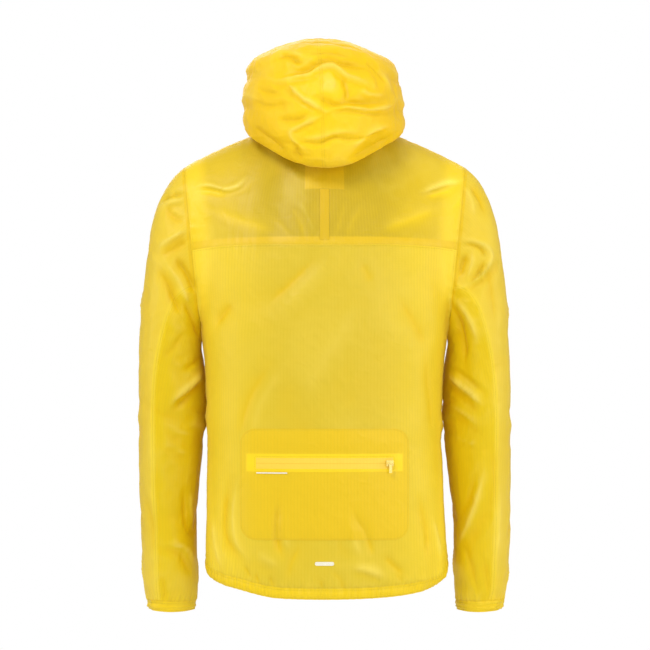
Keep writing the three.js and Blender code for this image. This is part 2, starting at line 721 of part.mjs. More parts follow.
function cutHood() {
  for (const [name, side] of [["left", LEFT], ["right", RIGHT]]) {
    const grid = gridOf(HOOD_ROWS, HOOD_AROUND, (around, at) => hoodPlaced(side, at, around));
    cutPiece(`hood_${name}`, "hood", "cloth", [side, 0, 0], grid);
  }
}

// The front zip's tapes fill the gap between the fronts, from the hem to the chin
function cutFrontZip() {
  const edge = HOOD_AROUND.at(-1);
  for (const [name, side] of [["left", LEFT], ["right", RIGHT]]) {
    const outer = [
      placed(side, hemPoint(FRONT, ZIP_ACROSS, 0)),
      ...[...TORSO_LEVELS, ...CHEST_LEVELS].map((height) => (
        placed(side, bodyPoint(FRONT, ZIP_ACROSS, height))
      )),
      ...HOOD_ROWS.slice(1, CHIN_STEP + 1).map((at) => hoodPlaced(side, at, edge)),
    ];
    const grid = outer.map((point) => [new THREE.Vector3(0, point.y, point.z), point]);
    cutPiece(`front_zip_tape_${name}`, "body", "zip", [0, -1, 0], grid, { gap: ZIP_GAP });
  }
}

// A place on a piece that has been cut, found by where it is seen from the back
function lyingOn(grid, x, z) {
  for (let row = 0; row < grid.length - 1; row += 1) {
    for (let column = 0; column < grid[0].length - 1; column += 1) {
      const corners = [
        grid[row][column],
        grid[row][column + 1],
        grid[row + 1][column + 1],
        grid[row + 1][column],
      ];
      for (const [a, b, c] of [[0, 1, 2], [0, 2, 3]].map((three) => three.map((n) => corners[n]))) {
        const whole = (b.x - a.x) * (c.z - a.z) - (c.x - a.x) * (b.z - a.z);
        const of_b = ((x - a.x) * (c.z - a.z) - (c.x - a.x) * (z - a.z)) / whole;
        const of_c = ((b.x - a.x) * (z - a.z) - (x - a.x) * (b.z - a.z)) / whole;
        if (of_b >= 0 && of_c >= 0 && of_b + of_c <= 1) {
          return new THREE.Vector3(x, a.y + of_b * (b.y - a.y) + of_c * (c.y - a.y), z);
        }
      }
    }
  }
  throw new Error(`nothing to lie on at ${x}, ${z}`);
}

function layRectangle(name, colour, grid, box, counts, options) {
  const rows = steps(counts[1], box.bottom_z, box.top_z);
  const columns = steps(counts[0], box.left_x, box.right_x);
  const laid = gridOf(rows, columns, (x, z) => lyingOn(grid, x, z));
  cutPiece(name, name, colour, [0, 1, 0], laid, options);
}

// The pocket's rows, narrower where its corners are rounded
function pocketRows() {
  const bends = steps(3, 0, RIGHT_ANGLE);
  const low = bends.map((angle) => ({
    z: POCKET.bottom_z + POCKET.corner * (1 - Math.cos(angle)),
    half: POCKET.half_width - POCKET.corner * (1 - Math.sin(angle)),
  }));
  const high = bends.map((angle) => ({
    z: POCKET.top_z - POCKET.corner * (1 - Math.cos(angle)),
    half: POCKET.half_width - POCKET.corner * (1 - Math.sin(angle)),
  })).reverse();
  const between = [
    ...steps(4, POCKET.bottom_z + POCKET.corner, POCKET_WINDOW.bottom_z).slice(1),
    ...[POCKET_WINDOW.top_z],
  ].map((z) => ({ z, half: POCKET.half_width }));
  return [...low, ...between, ...high];
}

function cutPocket(back_grid) {
  const rows = pocketRows();
  const window_share = POCKET_WINDOW.half_width / POCKET.half_width;
  const inner = steps(POCKET.columns, -window_share, window_share);
  const edge = mix(window_share, 1, 0.5);
  const shares = [-1, -edge, ...inner, edge, 1];
  const grid = rows.map(({ z, half }) => shares.map((share) => lyingOn(back_grid, share * half, z)));
  const window_row = rows.findIndex(({ z }) => z === POCKET_WINDOW.bottom_z);
  cutPiece("pocket_patch", "pocket", "cloth", [0, 1, 0], grid, {
    lift: LAID_GAP + WALL,
    window: (row, column) => row === window_row && column > 1 && column < shares.length - 3,
  });
  const middle_z = (POCKET_WINDOW.top_z + POCKET_WINDOW.bottom_z) / 2;
  const side = POCKET_WINDOW.half_width;
  const tape = { left_x: side, right_x: -side };
  layRectangle(
    "pocket_zip_tape_upper", "zip", back_grid,
    { ...tape, bottom_z: middle_z, top_z: POCKET_WINDOW.top_z },
    [POCKET.columns, 1], { lift: LAID_GAP + WALL },
  );
  layRectangle(
    "pocket_zip_tape_lower", "zip", back_grid,
    { ...tape, bottom_z: POCKET_WINDOW.bottom_z, top_z: middle_z },
    [POCKET.columns, 1], { lift: LAID_GAP + WALL },
  );
  layRectangle(
    "reflective_bar_pocket", "reflective", back_grid, POCKET_BAR, [4, 1],
    { lift: LAID_GAP + WALL + LAID_GAP + BAR_WALL, wall: BAR_WALL },
  );
}

// What lies on the yoke and, at the neck, inside it
function cutYokeTrim(yoke_grid) {
  layRectangle("yoke_strip", "cloth", yoke_grid, STRIP, [1, 4], { lift: LAID_GAP + WALL });
  layRectangle("neck_patch", "yoke", yoke_grid, NECK_PATCH, [4, 2], { lift: -WALL - LAID_GAP });
}

function cutHemBar(back_grid) {
  layRectangle(
    "reflective_bar_hem", "reflective", back_grid, HEM_BAR, [2, 1],
    { lift: LAID_GAP + BAR_WALL, wall: BAR_WALL },
  );
}

// Hard pieces of the zips. Their own frame has x along the pin, y out of the cloth and z up.
function solidOf(geometry) {
  const bare = geometry.clone();
  bare.deleteAttribute("normal");
  bare.deleteAttribute("uv");
  const merged = mergeVertices(bare, 1e-4);
  return new wasm.Manifold(new wasm.Mesh({
    numProp: 3,
    vertProperties: new Float32Array(merged.attributes.position.array),
    triVerts: new Uint32Array(merged.index.array),
  }));
}

function geometryOf(solid) {
  const mesh = solid.getMesh();
  const geometry = new THREE.BufferGeometry();
  geometry.setAttribute("position", new THREE.BufferAttribute(mesh.vertProperties, 3));
  geometry.setIndex(new THREE.BufferAttribute(mesh.triVerts, 1));
  geometry.computeVertexNormals();
  return geometry;
}

function sliderGeometry(width, height) {
  const body = new THREE.BoxGeometry(width, SLIDER.thick, height);
  body.translate(0, SLIDER.thick / 2, 0);
  const ear_x = PULL.width / 2 + SLIDER.ear_room + SLIDER.ear / 2;
  const parts = [body];
  for (const side of [LEFT, RIGHT]) {
    const ear = new THREE.BoxGeometry(SLIDER.ear, SLIDER.ear_rise + 1, SLIDER.ear_length);
    ear.translate(side * ear_x, SLIDER.thick + (SLIDER.ear_rise - 1) / 2, 0);
    parts.push(ear);
  }
  const pin = new THREE.CylinderGeometry(SLIDER.pin_radius, SLIDER.pin_radius, 2 * ear_x, 10);
  pin.rotateZ(RIGHT_ANGLE);
  pin.translate(0, SLIDER.thick + SLIDER.pin_rise, 0);
  parts.push(pin);
  return geometryOf(parts.map(solidOf).reduce((whole, part) => whole.add(part)));
}

// A flat tab with a round eye at its top, hanging from the pin at its own origin
function pullGeometry() {
  const half = PULL.thick / 2;
  const join = Math.asin(half / PULL.eye_radius);
  const outline = new THREE.Shape();
  outline.absarc(0, 0, PULL.eye_radius, -RIGHT_ANGLE + join, 3 * RIGHT_ANGLE - join, false);
  outline.lineTo(-half, -PULL.length);
  outline.lineTo(half, -PULL.length);
  outline.closePath();
  const hole = new THREE.Path();
  hole.absarc(0, 0, PULL.hole_radius, 0, 4 * RIGHT_ANGLE, true);
  outline.holes.push(hole);
  const tab = new THREE.ExtrudeGeometry(outline, {
    depth: PULL.width,
    bevelEnabled: false,
    curveSegments: 8,
  });
  tab.translate(0, 0, -PULL.width / 2);
  tab.rotateX(RIGHT_ANGLE);
  tab.rotateZ(RIGHT_ANGLE);
  return geometryOf(solidOf(tab));
}

// A slider set on the cloth at a point, turned to face out of it, with its tab hanging plumb
function zipHardware(name, point, turn, tilt, size) {
  const slider = new THREE.Mesh(sliderGeometry(...size), hardMaterial());
  slider.name = `${name}_slider`;
  slider.position.copy(point);
  slider.rotation.set(tilt, 0, turn, "ZYX");
  const pull = new THREE.Mesh(pullGeometry(), hardMaterial());
  pull.name = `${name}_pull`;
  const pin = new THREE.Vector3(0, SLIDER.thick + SLIDER.pin_rise, 0);
  pull.position.copy(point).add(pin.applyEuler(slider.rotation));
  pull.rotation.set(0, 0, turn);
  return [slider, pull];
}

function pocketHardware(back_grid) {
  const { x, z } = POCKET_SLIDER;
  const one = lyingOn(back_grid, x - SLIDER.length, z);
  const other = lyingOn(back_grid, x + SLIDER.length, z);
  const turn = Math.atan2(other.y - one.y, other.x - one.x);
  const out = new THREE.Vector3(-Math.sin(turn), Math.cos(turn), 0);
  const point = lyingOn(back_grid, x, z)
    .addScaledVector(out, LAID_GAP + WALL + LAID_GAP);
  return zipHardware("pocket_zip", point, turn, 0, [SLIDER.length, SLIDER.width]);
}

function frontHardware() {
  const edge = HOOD_AROUND.at(-1);
  const low = hoodPlaced(LEFT, HOOD_ROWS[CHIN_STEP - 2], edge);
  const high = hoodPlaced(LEFT, HOOD_ROWS[CHIN_STEP - 1], edge);
  const tilt = Math.atan2(high.y - low.y, high.z - low.z);
  const point = new THREE.Vector3(0, (low.y + high.y) / 2, (low.z + high.z) / 2);
  point.y -= LAID_GAP * Math.cos(tilt);
  point.z += LAID_GAP * Math.sin(tilt);
  return zipHardware("front_zip", point, Math.PI, tilt, [SLIDER.width, SLIDER.length]);
}

const { back_grid: backGrid, yoke_grid: yokeGrid } = cutBody();
cutHem();
cutSleeves();
cutHood();
cutFrontZip();
cutPocket(backGrid);
cutYokeTrim(yokeGrid);
cutHemBar(backGrid);

const jacket = new THREE.Group();
const seamNormals = sumNormals();
for (const piece of pieces) {
  const mesh = new THREE.Mesh(clothGeometry(piece, seamNormals), clothMaterial(piece.colour));
  mesh.name = piece.name;
  jacket.add(mesh);
}
jacket.add(...pocketHardware(backGrid), ...frontHardware());

export default jacket;
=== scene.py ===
# %% [markdown]
# # A thin hooded windbreaker, filled out as if worn
#
# The real jacket is cut from ripstop nylon so light that it lets the light through. It is built
# in four steps: the CAD solids give each panel its place and outline, one smooth skin is sewn
# from their outer faces, creases and gathers are pressed into it, and then it is cut back into
# its panels and gets the small things: pocket, tapes, zips, stitches.

# %% The frame
import json
import math

import bmesh
import bpy
import numpy as np
from mathutils import Matrix, Vector, noise
from mathutils.bvhtree import BVHTree

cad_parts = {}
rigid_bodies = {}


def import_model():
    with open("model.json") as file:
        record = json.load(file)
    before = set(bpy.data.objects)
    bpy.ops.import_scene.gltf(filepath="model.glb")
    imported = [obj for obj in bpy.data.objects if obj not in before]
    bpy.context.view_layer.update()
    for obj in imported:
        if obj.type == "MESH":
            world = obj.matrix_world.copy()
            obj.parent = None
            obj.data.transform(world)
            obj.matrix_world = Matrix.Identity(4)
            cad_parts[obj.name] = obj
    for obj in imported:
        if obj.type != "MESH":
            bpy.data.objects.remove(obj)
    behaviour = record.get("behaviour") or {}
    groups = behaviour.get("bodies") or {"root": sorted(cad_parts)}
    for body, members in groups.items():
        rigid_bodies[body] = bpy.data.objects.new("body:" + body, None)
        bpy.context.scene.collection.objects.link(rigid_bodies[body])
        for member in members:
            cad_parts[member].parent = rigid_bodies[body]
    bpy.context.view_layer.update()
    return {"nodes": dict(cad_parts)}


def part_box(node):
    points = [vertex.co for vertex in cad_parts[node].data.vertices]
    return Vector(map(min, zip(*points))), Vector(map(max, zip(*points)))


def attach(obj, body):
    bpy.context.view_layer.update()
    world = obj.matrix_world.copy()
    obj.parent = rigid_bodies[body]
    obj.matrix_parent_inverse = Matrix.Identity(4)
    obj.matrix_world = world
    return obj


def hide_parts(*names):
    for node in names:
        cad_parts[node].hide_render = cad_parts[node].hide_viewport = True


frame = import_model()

MM = 0.001

# %% [markdown]
# ## Camera
#
# The picture was taken square from behind, from far enough that nothing looks nearer than the
# rest. A long lens at 5 m does the same.

# %% Camera
CAMERA = {"distance": 5.0, "height": -0.312, "sideways": -0.0008, "picture_width": 1.04}
SENSOR = 36

camera_data = bpy.data.cameras.new("camera")
camera_data.sensor_width = SENSOR
camera_data.lens = SENSOR * CAMERA["distance"] / CAMERA["picture_width"]
camera = bpy.data.objects.new("camera", camera_data)
camera.location = (CAMERA["sideways"], CAMERA["distance"], CAMERA["height"])
camera.rotation_euler = (math.radians(90), 0, math.radians(180))
bpy.context.scene.collection.objects.link(camera)
bpy.context.scene.camera = camera
print("lens", round(camera_data.lens, 1), "mm")

# %% [markdown]
# ## The panels
#
# Every panel of the real jacket is a flat cut of cloth. The table gives each one's finish, the
# flat size it was cut to (width, length and area, in metres) and how wide the folded allowance
# is along its lower, upper, left and right edge, as seen from outside.

# %% Panels
PANELS = {
    "back_panel": ("cloth", (0.535, 0.545, 0.2504), (0, 0, 28, 28)),
    "back_yoke": ("yoke_cloth", (0.565, 0.228, 0.0864), (13, 7, 29, 29)),
    "front_left": ("cloth", (0.310, 0.720, 0.1718), (0, 7, 8, 8)),
    "front_right": ("cloth", (0.310, 0.720, 0.1718), (0, 7, 8, 8)),
    "hem_back": ("binding", (0.411, 0.014, 0.0056), (0, 0, 0, 0)),
    "hem_front_left": ("binding", (0.308, 0.014, 0.0042), (0, 0, 0, 0)),
    "hem_front_right": ("binding", (0.308, 0.014, 0.0042), (0, 0, 0, 0)),
    "sleeve_top_left": ("cloth", (0.408, 0.721, 0.1121), (4, 7, 6, 6)),
    "sleeve_under_left": ("cloth", (0.250, 0.545, 0.0881), (4, 7, 4, 4)),
    "cuff_left": ("binding", (0.232, 0.013, 0.0027), (0, 0, 0, 0)),
    "sleeve_top_right": ("cloth", (0.408, 0.721, 0.1121), (4, 7, 6, 6)),
    "sleeve_under_right": ("cloth", (0.250, 0.545, 0.0881), (4, 7, 4, 4)),
    "cuff_right": ("binding", (0.232, 0.013, 0.0027), (0, 0, 0, 0)),
    "hood_left": ("cloth", (0.387, 0.474, 0.0849), (5, 5, 0, 0)),
    "hood_right": ("cloth", (0.387, 0.474, 0.0878), (5, 5, 0, 0)),
    "front_zip_tape_left": ("zip_tape", (0.007, 0.698, 0.0039), (0, 0, 0, 0)),
    "front_zip_tape_right": ("zip_tape", (0.007, 0.698, 0.0039), (0, 0, 0, 0)),
}
PANEL_NAMES = list(PANELS)
print(len(PANELS), "panels are sewn into the skin")

# %% [markdown]
# ## Outer faces
#
# A CAD node is a closed wall: an outer face, an inner face and a thin rim between them. A copy
# loses its rim first: a rim triangle has a short side that crosses the wall, square to the
# cloth. Of the two sheets that are left, the one that faces away from the body is kept.

# %% One panel's outer face
WALL_AT_MOST = 3.2 * MM
SQUARE_TO_CLOTH = 0.165
TORSO_AXIS = Vector((0, 0, 0))
HOOD_MIDDLE = Vector((0, 0.03, 0.05))
SLEEVE_AXIS = Vector((0.242, -0.012, 0))


def middle_near(name, place):
    """The middle of the part that a panel wraps round, level with a place on it."""
    if name.startswith("hood"):
        return HOOD_MIDDLE
    if name.startswith(("sleeve", "cuff")):
        side = 1 if name.endswith("left") else -1
        return Vector((side * SLEEVE_AXIS.x, SLEEVE_AXIS.y, place.z))
    return Vector((TORSO_AXIS.x, TORSO_AXIS.y, place.z))


def connected_sheets(bm):
    """The faces of a mesh, sorted into the sheets that hang together."""
    left = set(bm.faces)
    sheets = []
    while left:
        waiting = [left.pop()]
        sheet = []
        while waiting:
            face = waiting.pop()
            sheet.append(face)
            for edge in face.edges:
                for other in edge.link_faces:
                    if other in left:
                        left.remove(other)
                        waiting.append(other)
        sheets.append(sheet)
    return sheets


def crosses_wall(edge):
    if edge.calc_length() > WALL_AT_MOST:
        return False
    along = (edge.verts[1].co - edge.verts[0].co).normalized()
    squareness = 1
    for vert in edge.verts:
        out = sum((face.normal * face.calc_area() for face in vert.link_faces), Vector())
        squareness *= abs(out.normalized().dot(along))
    return squareness > SQUARE_TO_CLOTH


def outer_face(name):
    bm = bmesh.new()
    bm.from_mesh(frame["nodes"][name].data)
    bmesh.ops.remove_doubles(bm, verts=bm.verts, dist=0.01 * MM)
    bm.normal_update()
    rim = [face for face in bm.faces if any(crosses_wall(edge) for edge in face.edges)]
    bmesh.ops.delete(bm, geom=rim, context="FACES")
    bm.normal_update()
    inside = []
    for sheet in connected_sheets(bm):
        outward = 0
        for face in sheet:
            centre = face.calc_center_median()
            arm = centre - middle_near(name, centre)
            outward += face.calc_area() * face.normal.dot(arm)
        if outward < 0:
            inside += sheet
    bmesh.ops.delete(bm, geom=inside, context="FACES")
    return bm


# %% [markdown]
# ## Square cells
#
# The panels were laid out as grids and stored as triangles. A smooth skin needs the squares
# back, so each square's diagonal has to be told from its sides. Walking from triangle to
# triangle, an edge keeps its meaning: diagonal (0), along the cloth (1) or up it (2). Only the
# right first guess leaves no diagonal on the outline.

# %% Taking the diagonals out
DIAGONAL, ALONG = 0, 1


def edge_meanings(bm, first_loop):
    meanings = {}
    waiting = [(bm.faces[0], first_loop)]
    seen = {bm.faces[0]}
    while waiting:
        face, first = waiting.pop()
        for meaning in range(3):
            loop = face.loops[(first + meaning) % 3]
            meanings[loop.edge] = meaning
            other = loop.link_loop_radial_next
            if other.face not in seen:
                seen.add(other.face)
                place = list(other.face.loops).index(other)
                waiting.append((other.face, (place - meaning) % 3))
    return meanings


def square_cells(bm):
    run = bm.edges.layers.int.new("run")
    bm.faces.ensure_lookup_table()
    guesses = [edge_meanings(bm, first) for first in range(3)]
    meanings = min(guesses, key=lambda found: sum(
        edge.is_boundary for edge, meaning in found.items() if meaning == DIAGONAL))
    for edge, meaning in meanings.items():
        edge[run] = meaning
    diagonals = [edge for edge in bm.edges if edge[run] == DIAGONAL]
    bmesh.ops.dissolve_edges(bm, edges=diagonals, use_verts=False, use_face_split=False)
    scraps = [face for face in bm.faces if len(face.verts) != 4]
    bmesh.ops.delete(bm, geom=scraps, context="FACES")
    return run


# %% [markdown]
# ## Measuring the cloth
#
# A weave follows the cloth and a stitch line follows a panel's edge, so each panel is measured
# along its rows and columns of cells. The lengths, in metres, are kept as three UV maps:
# "weave" for the pattern, and two that say how far each edge of the panel is.

# %% Rows, columns and lengths
def number_cells(bm, run):
    """Row, column and lower side of every cell, counted from cell to cell."""
    bm.faces.ensure_lookup_table()
    start = bm.faces[0]
    low = next(loop for loop in start.loops if loop.edge[run] == ALONG)
    cells = {start: (0, 0, low)}
    waiting = [start]
    while waiting:
        row, column, low = cells[waiting.pop()]
        right, top, left = low.link_loop_next, low.link_loop_next.link_loop_next, low.link_loop_prev
        for side, up, over in ((low, -1, 0), (right, 0, 1), (top, 1, 0), (left, 0, -1)):
            other = side.link_loop_radial_next
            if other.face in cells:
                continue
            if side is low:
                other_low = other.link_loop_next.link_loop_next
            elif side is right:
                other_low = other.link_loop_next
            elif side is top:
                other_low = other
            else:
                other_low = other.link_loop_prev
            cells[other.face] = (row + up, column + over, other_low)
            waiting.append(other.face)
    return cells


def run_lengths(places, fixed, moving):
    """How far each grid point is along its row or column, and how long that is."""
    lines = {}
    for key in places:
        lines.setdefault(key[fixed], []).append(key)
    along, whole = {}, {}
    for line in lines.values():
        line.sort(key=lambda key: key[moving])
        total = 0
        along[line[0]] = 0
        for before, after in zip(line, line[1:]):
            total += (places[after] - places[before]).length
            along[after] = total
        whole.update({key: total for key in line})
    return along, whole


def measure_cloth(bm, run):
    weave = bm.loops.layers.uv.new("weave")
    low_left = bm.loops.layers.uv.new("low_left")
    high_right = bm.loops.layers.uv.new("high_right")
    cells = number_cells(bm, run)
    corners = {}
    places = {}
    for row, column, low in cells.values():
        loops = (low, low.link_loop_next, low.link_loop_next.link_loop_next, low.link_loop_prev)
        for loop, up, over in zip(loops, (0, 0, 1, 1), (0, 1, 1, 0)):
            corners[loop] = (row + up, column + over)
            places[row + up, column + over] = loop.vert.co.copy()
    across, width = run_lengths(places, 0, 1)
    upward, length = run_lengths(places, 1, 0)
    rows = sorted({row for row, _ in places})
    mean_z = [np.mean([place.z for key, place in places.items() if key[0] == row])
              for row in (rows[0], rows[-1])]
    turned = mean_z[1] < mean_z[0]
    for loop, key in corners.items():
        left, low = across[key], upward[key]
        right, high = width[key] - left, length[key] - low
        if turned:
            left, right, low, high = right, left, high, low
        loop[weave].uv = ((left - right) / 2, low)
        loop[low_left].uv = (left, low)
        loop[high_right].uv = (right, high)
    return max(width.values()), max(length.values())


# %% Cutting the panels
def cut_panel(name):
    bm = outer_face(name)
    run = square_cells(bm)
    width, length = measure_cloth(bm, run)
    area = sum(face.calc_area() for face in bm.faces)
    squares = sum(len(face.verts) == 4 for face in bm.faces)
    print(f"{name}: {squares} cells of {len(bm.faces)}, {width:.3f} x {length:.3f} m, {area:.4f} m2")
    bm.edges.layers.int.remove(run)
    mesh = bpy.data.meshes.new(name + "_cloth")
    bm.to_mesh(mesh)
    bm.free()
    mesh.materials.append(bpy.data.materials.new(name + "_cloth"))
    panel = bpy.data.objects.new(name + "_cloth", mesh)
    bpy.context.scene.collection.objects.link(panel)
    return panel


cut = [cut_panel(name) for name in PANEL_NAMES]

# %% [markdown]
# ## Sewing
#
# The panels are joined into one object and their edges merged, so the skin stays smooth across
# the seams and no light leaks through them. Subdivision rounds the cells. The merge distance is
# more than the gap at a seam and less than any other gap.

# %% Sewing the skin
SEAM_REACH = 0.95 * MM
FINENESS = 3


def finished(piece):
    """A piece's mesh with its modifiers worked in."""
    graph = bpy.context.evaluated_depsgraph_get()
    mesh = bpy.data.meshes.new_from_object(
        piece.evaluated_get(graph), preserve_all_data_layers=True, depsgraph=graph)
    piece.modifiers.clear()
    piece.data = mesh


def sew(panels):
    with bpy.context.temp_override(active_object=panels[0], selected_editable_objects=panels):
        bpy.ops.object.join()
    skin = panels[0]
    skin.name = "skin"
    bm = bmesh.new()
    bm.from_mesh(skin.data)
    before = len(bm.verts)
    bmesh.ops.remove_doubles(bm, verts=bm.verts, dist=SEAM_REACH)
    open_edges = sum(edge.is_boundary for edge in bm.edges)
    branching = sum(len(edge.link_faces) > 2 for edge in bm.edges)
    print(f"sewn: {before} points became {len(bm.verts)}, {open_edges} open edges,",
          f"{branching} branching")
    bm.to_mesh(skin.data)
    bm.free()
    smooth = skin.modifiers.new("smooth", "SUBSURF")
    smooth.levels = smooth.render_levels = FINENESS
    finished(skin)
    return skin


skin = sew(cut)
print("the skin has", len(skin.data.polygons), "cells")

# %% [markdown]
# ## Finer cells in the hood
#
# The slack hood has the sharpest creases, so its cells are cut once more. The other panels keep
# theirs, which saves a lot of memory.

# %% Cutting the hood's cells
def panel_numbers(*starts):
    return [number for number, name in enumerate(PANEL_NAMES) if name.startswith(starts)]


bm = bmesh.new()
bm.from_mesh(skin.data)
hood_numbers = panel_numbers("hood")
hood_edges = {edge for face in bm.faces if face.material_index in hood_numbers
              for edge in face.edges}
bmesh.ops.subdivide_edges(bm, edges=list(hood_edges), cuts=1, use_grid_fill=True)
bm.to_mesh(skin.data)
bm.free()
print("now", len(skin.data.polygons), "cells")

# %% [markdown]
# ## Reading and moving the skin
#
# There are some 160,000 points in the skin, so they are read and moved all at once, as arrays.
# A corner is a point as one cell sees it: it knows its panel, and how far it is from that
# panel's four edges.

# %% The skin's points and corners
def read(collection, attribute, width=1, kind=np.float32):
    values = np.empty(len(collection) * width, kind)
    collection.foreach_get(attribute, values)
    return values.reshape(-1, width) if width > 1 else values


def smoothstep(low, high, values):
    share = np.clip((values - low) / (high - low), 0, 1)
    return share * share * (3 - 2 * share)


def bump(values, middle, width):
    return np.exp(-((values - middle) / width) ** 2)


CORNER_POINT = read(skin.data.loops, "vertex_index", kind=np.int32)
CORNER_PANEL = np.repeat(read(skin.data.polygons, "material_index", kind=np.int32),
                         read(skin.data.polygons, "loop_total", kind=np.int32))
LEFT, LOW = read(skin.data.uv_layers["low_left"].uv, "vector", 2).T
RIGHT, HIGH = read(skin.data.uv_layers["high_right"].uv, "vector", 2).T
ACROSS = (LEFT - RIGHT) / 2
POINTS = len(skin.data.vertices)


def to_points(corner_values):
    """Mean of the corners that meet at each point."""
    total = np.bincount(CORNER_POINT, corner_values, POINTS)
    return total / np.maximum(np.bincount(CORNER_POINT, minlength=POINTS), 1)


def share_of(*starts):
    return to_points(np.isin(CORNER_PANEL, panel_numbers(*starts)).astype(float))


HOOD_SHARE = share_of("hood")
SLEEVE_SHARE = share_of("sleeve", "cuff")
BACK_SHARE = share_of("back")
FIRM_SHARE = share_of("hem", "cuff", "front_zip")
# Crease and crumple heights, kept to paint shade into the troughs and a highlight onto the ridges.
FOLD_SHADING = np.zeros(POINTS)


def press(moves):
    """Moves every point along its normal, out for more than 0."""
    places = read(skin.data.vertices, "co", 3)
    normals = read(skin.data.vertices, "normal", 3)
    skin.data.vertices.foreach_set("co", (places + normals * moves[:, None]).ravel())
    skin.data.update()
    print(f"pressed by {moves.min() / MM:.1f} to {moves.max() / MM:.1f} mm")


# %% [markdown]
# ## How it hangs
#
# The solids are nearly even from side to side, and worn cloth isn't: the hood leans, one sleeve
# swings out at the cuff, and the hem rises at one corner. Rows of height give how far the two
# edges of each part move to the wearer's left, in mm, and what is between them stretches.

# %% Leaning and swinging
HANG = {  # part: (middle, half width, rows of (height, move at the left edge, at the right edge))
    "hood": (0, 128, [
        (-40, 0, 0), (-16, 7, -5), (-7, 6, -7), (12, 3, -1.5), (30, 0, 3.5), (67, 2, 4.5),
        (77, 0, 6), (86, 3, 4.5), (95, 9, 2), (105, 14, -1.5), (114, 18, -3)]),
    "torso": (0, 188, [
        (-725, 0, -1), (-712, 0, -8), (-690, 0, -7), (-650, 0, -5), (-600, 0, -2.5), (-500, 0, 0),
        (-472, 2.2, -2), (-320, 2.2, -2), (-270, 0, 0)]),
    "sleeve_left": (242, 62, [
        (-772, 4, -3), (-735, 5, -3), (-700, 1.5, 0), (-640, 0, 0), (-450, -1, 0), (-420, -1.5, -1.5),
        (-340, -1, -1.5), (-290, 0, 0)]),
    "sleeve_right": (-242, 62, [
        (-772, -5, -9), (-735, -4, -11), (-720, -4.5, -9.5), (-690, -4, -6.5), (-630, -3, -5),
        (-590, -1, -1), (-470, 0.5, 0), (-430, 2, 2.5), (-350, 2, 3), (-290, 0, 0)]),
}
CROWN = {"from": 85, "to": 146, "drop": 5}
ROLL = {"half": 95, "from": 82, "to": 118, "top": 15, "low": -50, "drop": 9}
HEM_CORNER = {"from": 70, "to": 150, "below": -640, "whole": -710, "lift": 8}


def hang(places):
    moved = places.copy()
    left = places[:, 0] > 0
    shares = {"hood": HOOD_SHARE > 0.5, "sleeve_left": (SLEEVE_SHARE > 0.5) & left,
              "sleeve_right": (SLEEVE_SHARE > 0.5) & ~left,
              "torso": (HOOD_SHARE <= 0.5) & (SLEEVE_SHARE <= 0.5)}
    for part, (middle, half, rows) in HANG.items():
        chosen = shares[part]
        heights, at_left, at_right = np.array(rows).T
        x, z = places[chosen, 0] / MM, places[chosen, 2] / MM
        share = np.clip((x - middle) / half, -1, 1)
        moves = (np.maximum(share, 0) * np.interp(z, heights, at_left)
                 + np.maximum(-share, 0) * np.interp(z, heights, at_right))
        moved[chosen, 0] += moves * MM
    x, z = places[:, 0] / MM, places[:, 2] / MM
    drop = CROWN["drop"] * smoothstep(CROWN["from"], CROWN["to"], z) * HOOD_SHARE
    roll = bump(x, 0, ROLL["half"]) * (1 - smoothstep(ROLL["low"], ROLL["top"], z))
    roll *= smoothstep(ROLL["from"], ROLL["to"], places[:, 1] / MM)
    drop += ROLL["drop"] * roll * HOOD_SHARE
    corner = (smoothstep(HEM_CORNER["from"], HEM_CORNER["to"], x)
              * (1 - smoothstep(HEM_CORNER["whole"], HEM_CORNER["below"], z)))
    corner *= (1 - SLEEVE_SHARE) * (places[:, 1] > 0)
    moved[:, 2] += (HEM_CORNER["lift"] * corner * smoothstep(0, 60, places[:, 1] / MM) - drop) * MM
    return moved


skin.data.vertices.foreach_set("co", hang(read(skin.data.vertices, "co", 3)).ravel())
skin.data.update()

# %% [markdown]
# ## A smooth yoke
#
# The yoke hangs evenly from the shoulders, so every point between its seams moves towards the
# mean of its neighbours, many times over, while the seams stay.

# %% Relaxing the yoke
RELAX_TIMES = 160


def relax(chosen, times):
    places = read(skin.data.vertices, "co", 3).astype(float)
    edges = read(skin.data.edges, "vertices", 2, np.int32)
    edges = edges[chosen[edges].any(axis=1)]
    start, end = np.concatenate([edges, edges[:, ::-1]]).T
    count = np.maximum(np.bincount(start, minlength=POINTS), 1)
    for _ in range(times):
        mean = [np.bincount(start, places[end, axis], POINTS) / count for axis in range(3)]
        places[chosen] += 0.5 * (np.transpose(mean) - places)[chosen]
    skin.data.vertices.foreach_set("co", places.astype(np.float32).ravel())
    skin.data.update()
    print(chosen.sum(), "points relaxed")


relax(share_of("back_yoke") > 0.99, RELAX_TIMES)

# %% [markdown]
# ## Creases
#
# Each crease of the picture is a bent line on the cloth, seen from one side, with a rise (less
# than 0 for a trough) and a width in mm. The hidden sides have similar ones. A line presses a
# soft ridge or trough that fades at both ends, and only into cloth that faces that way.

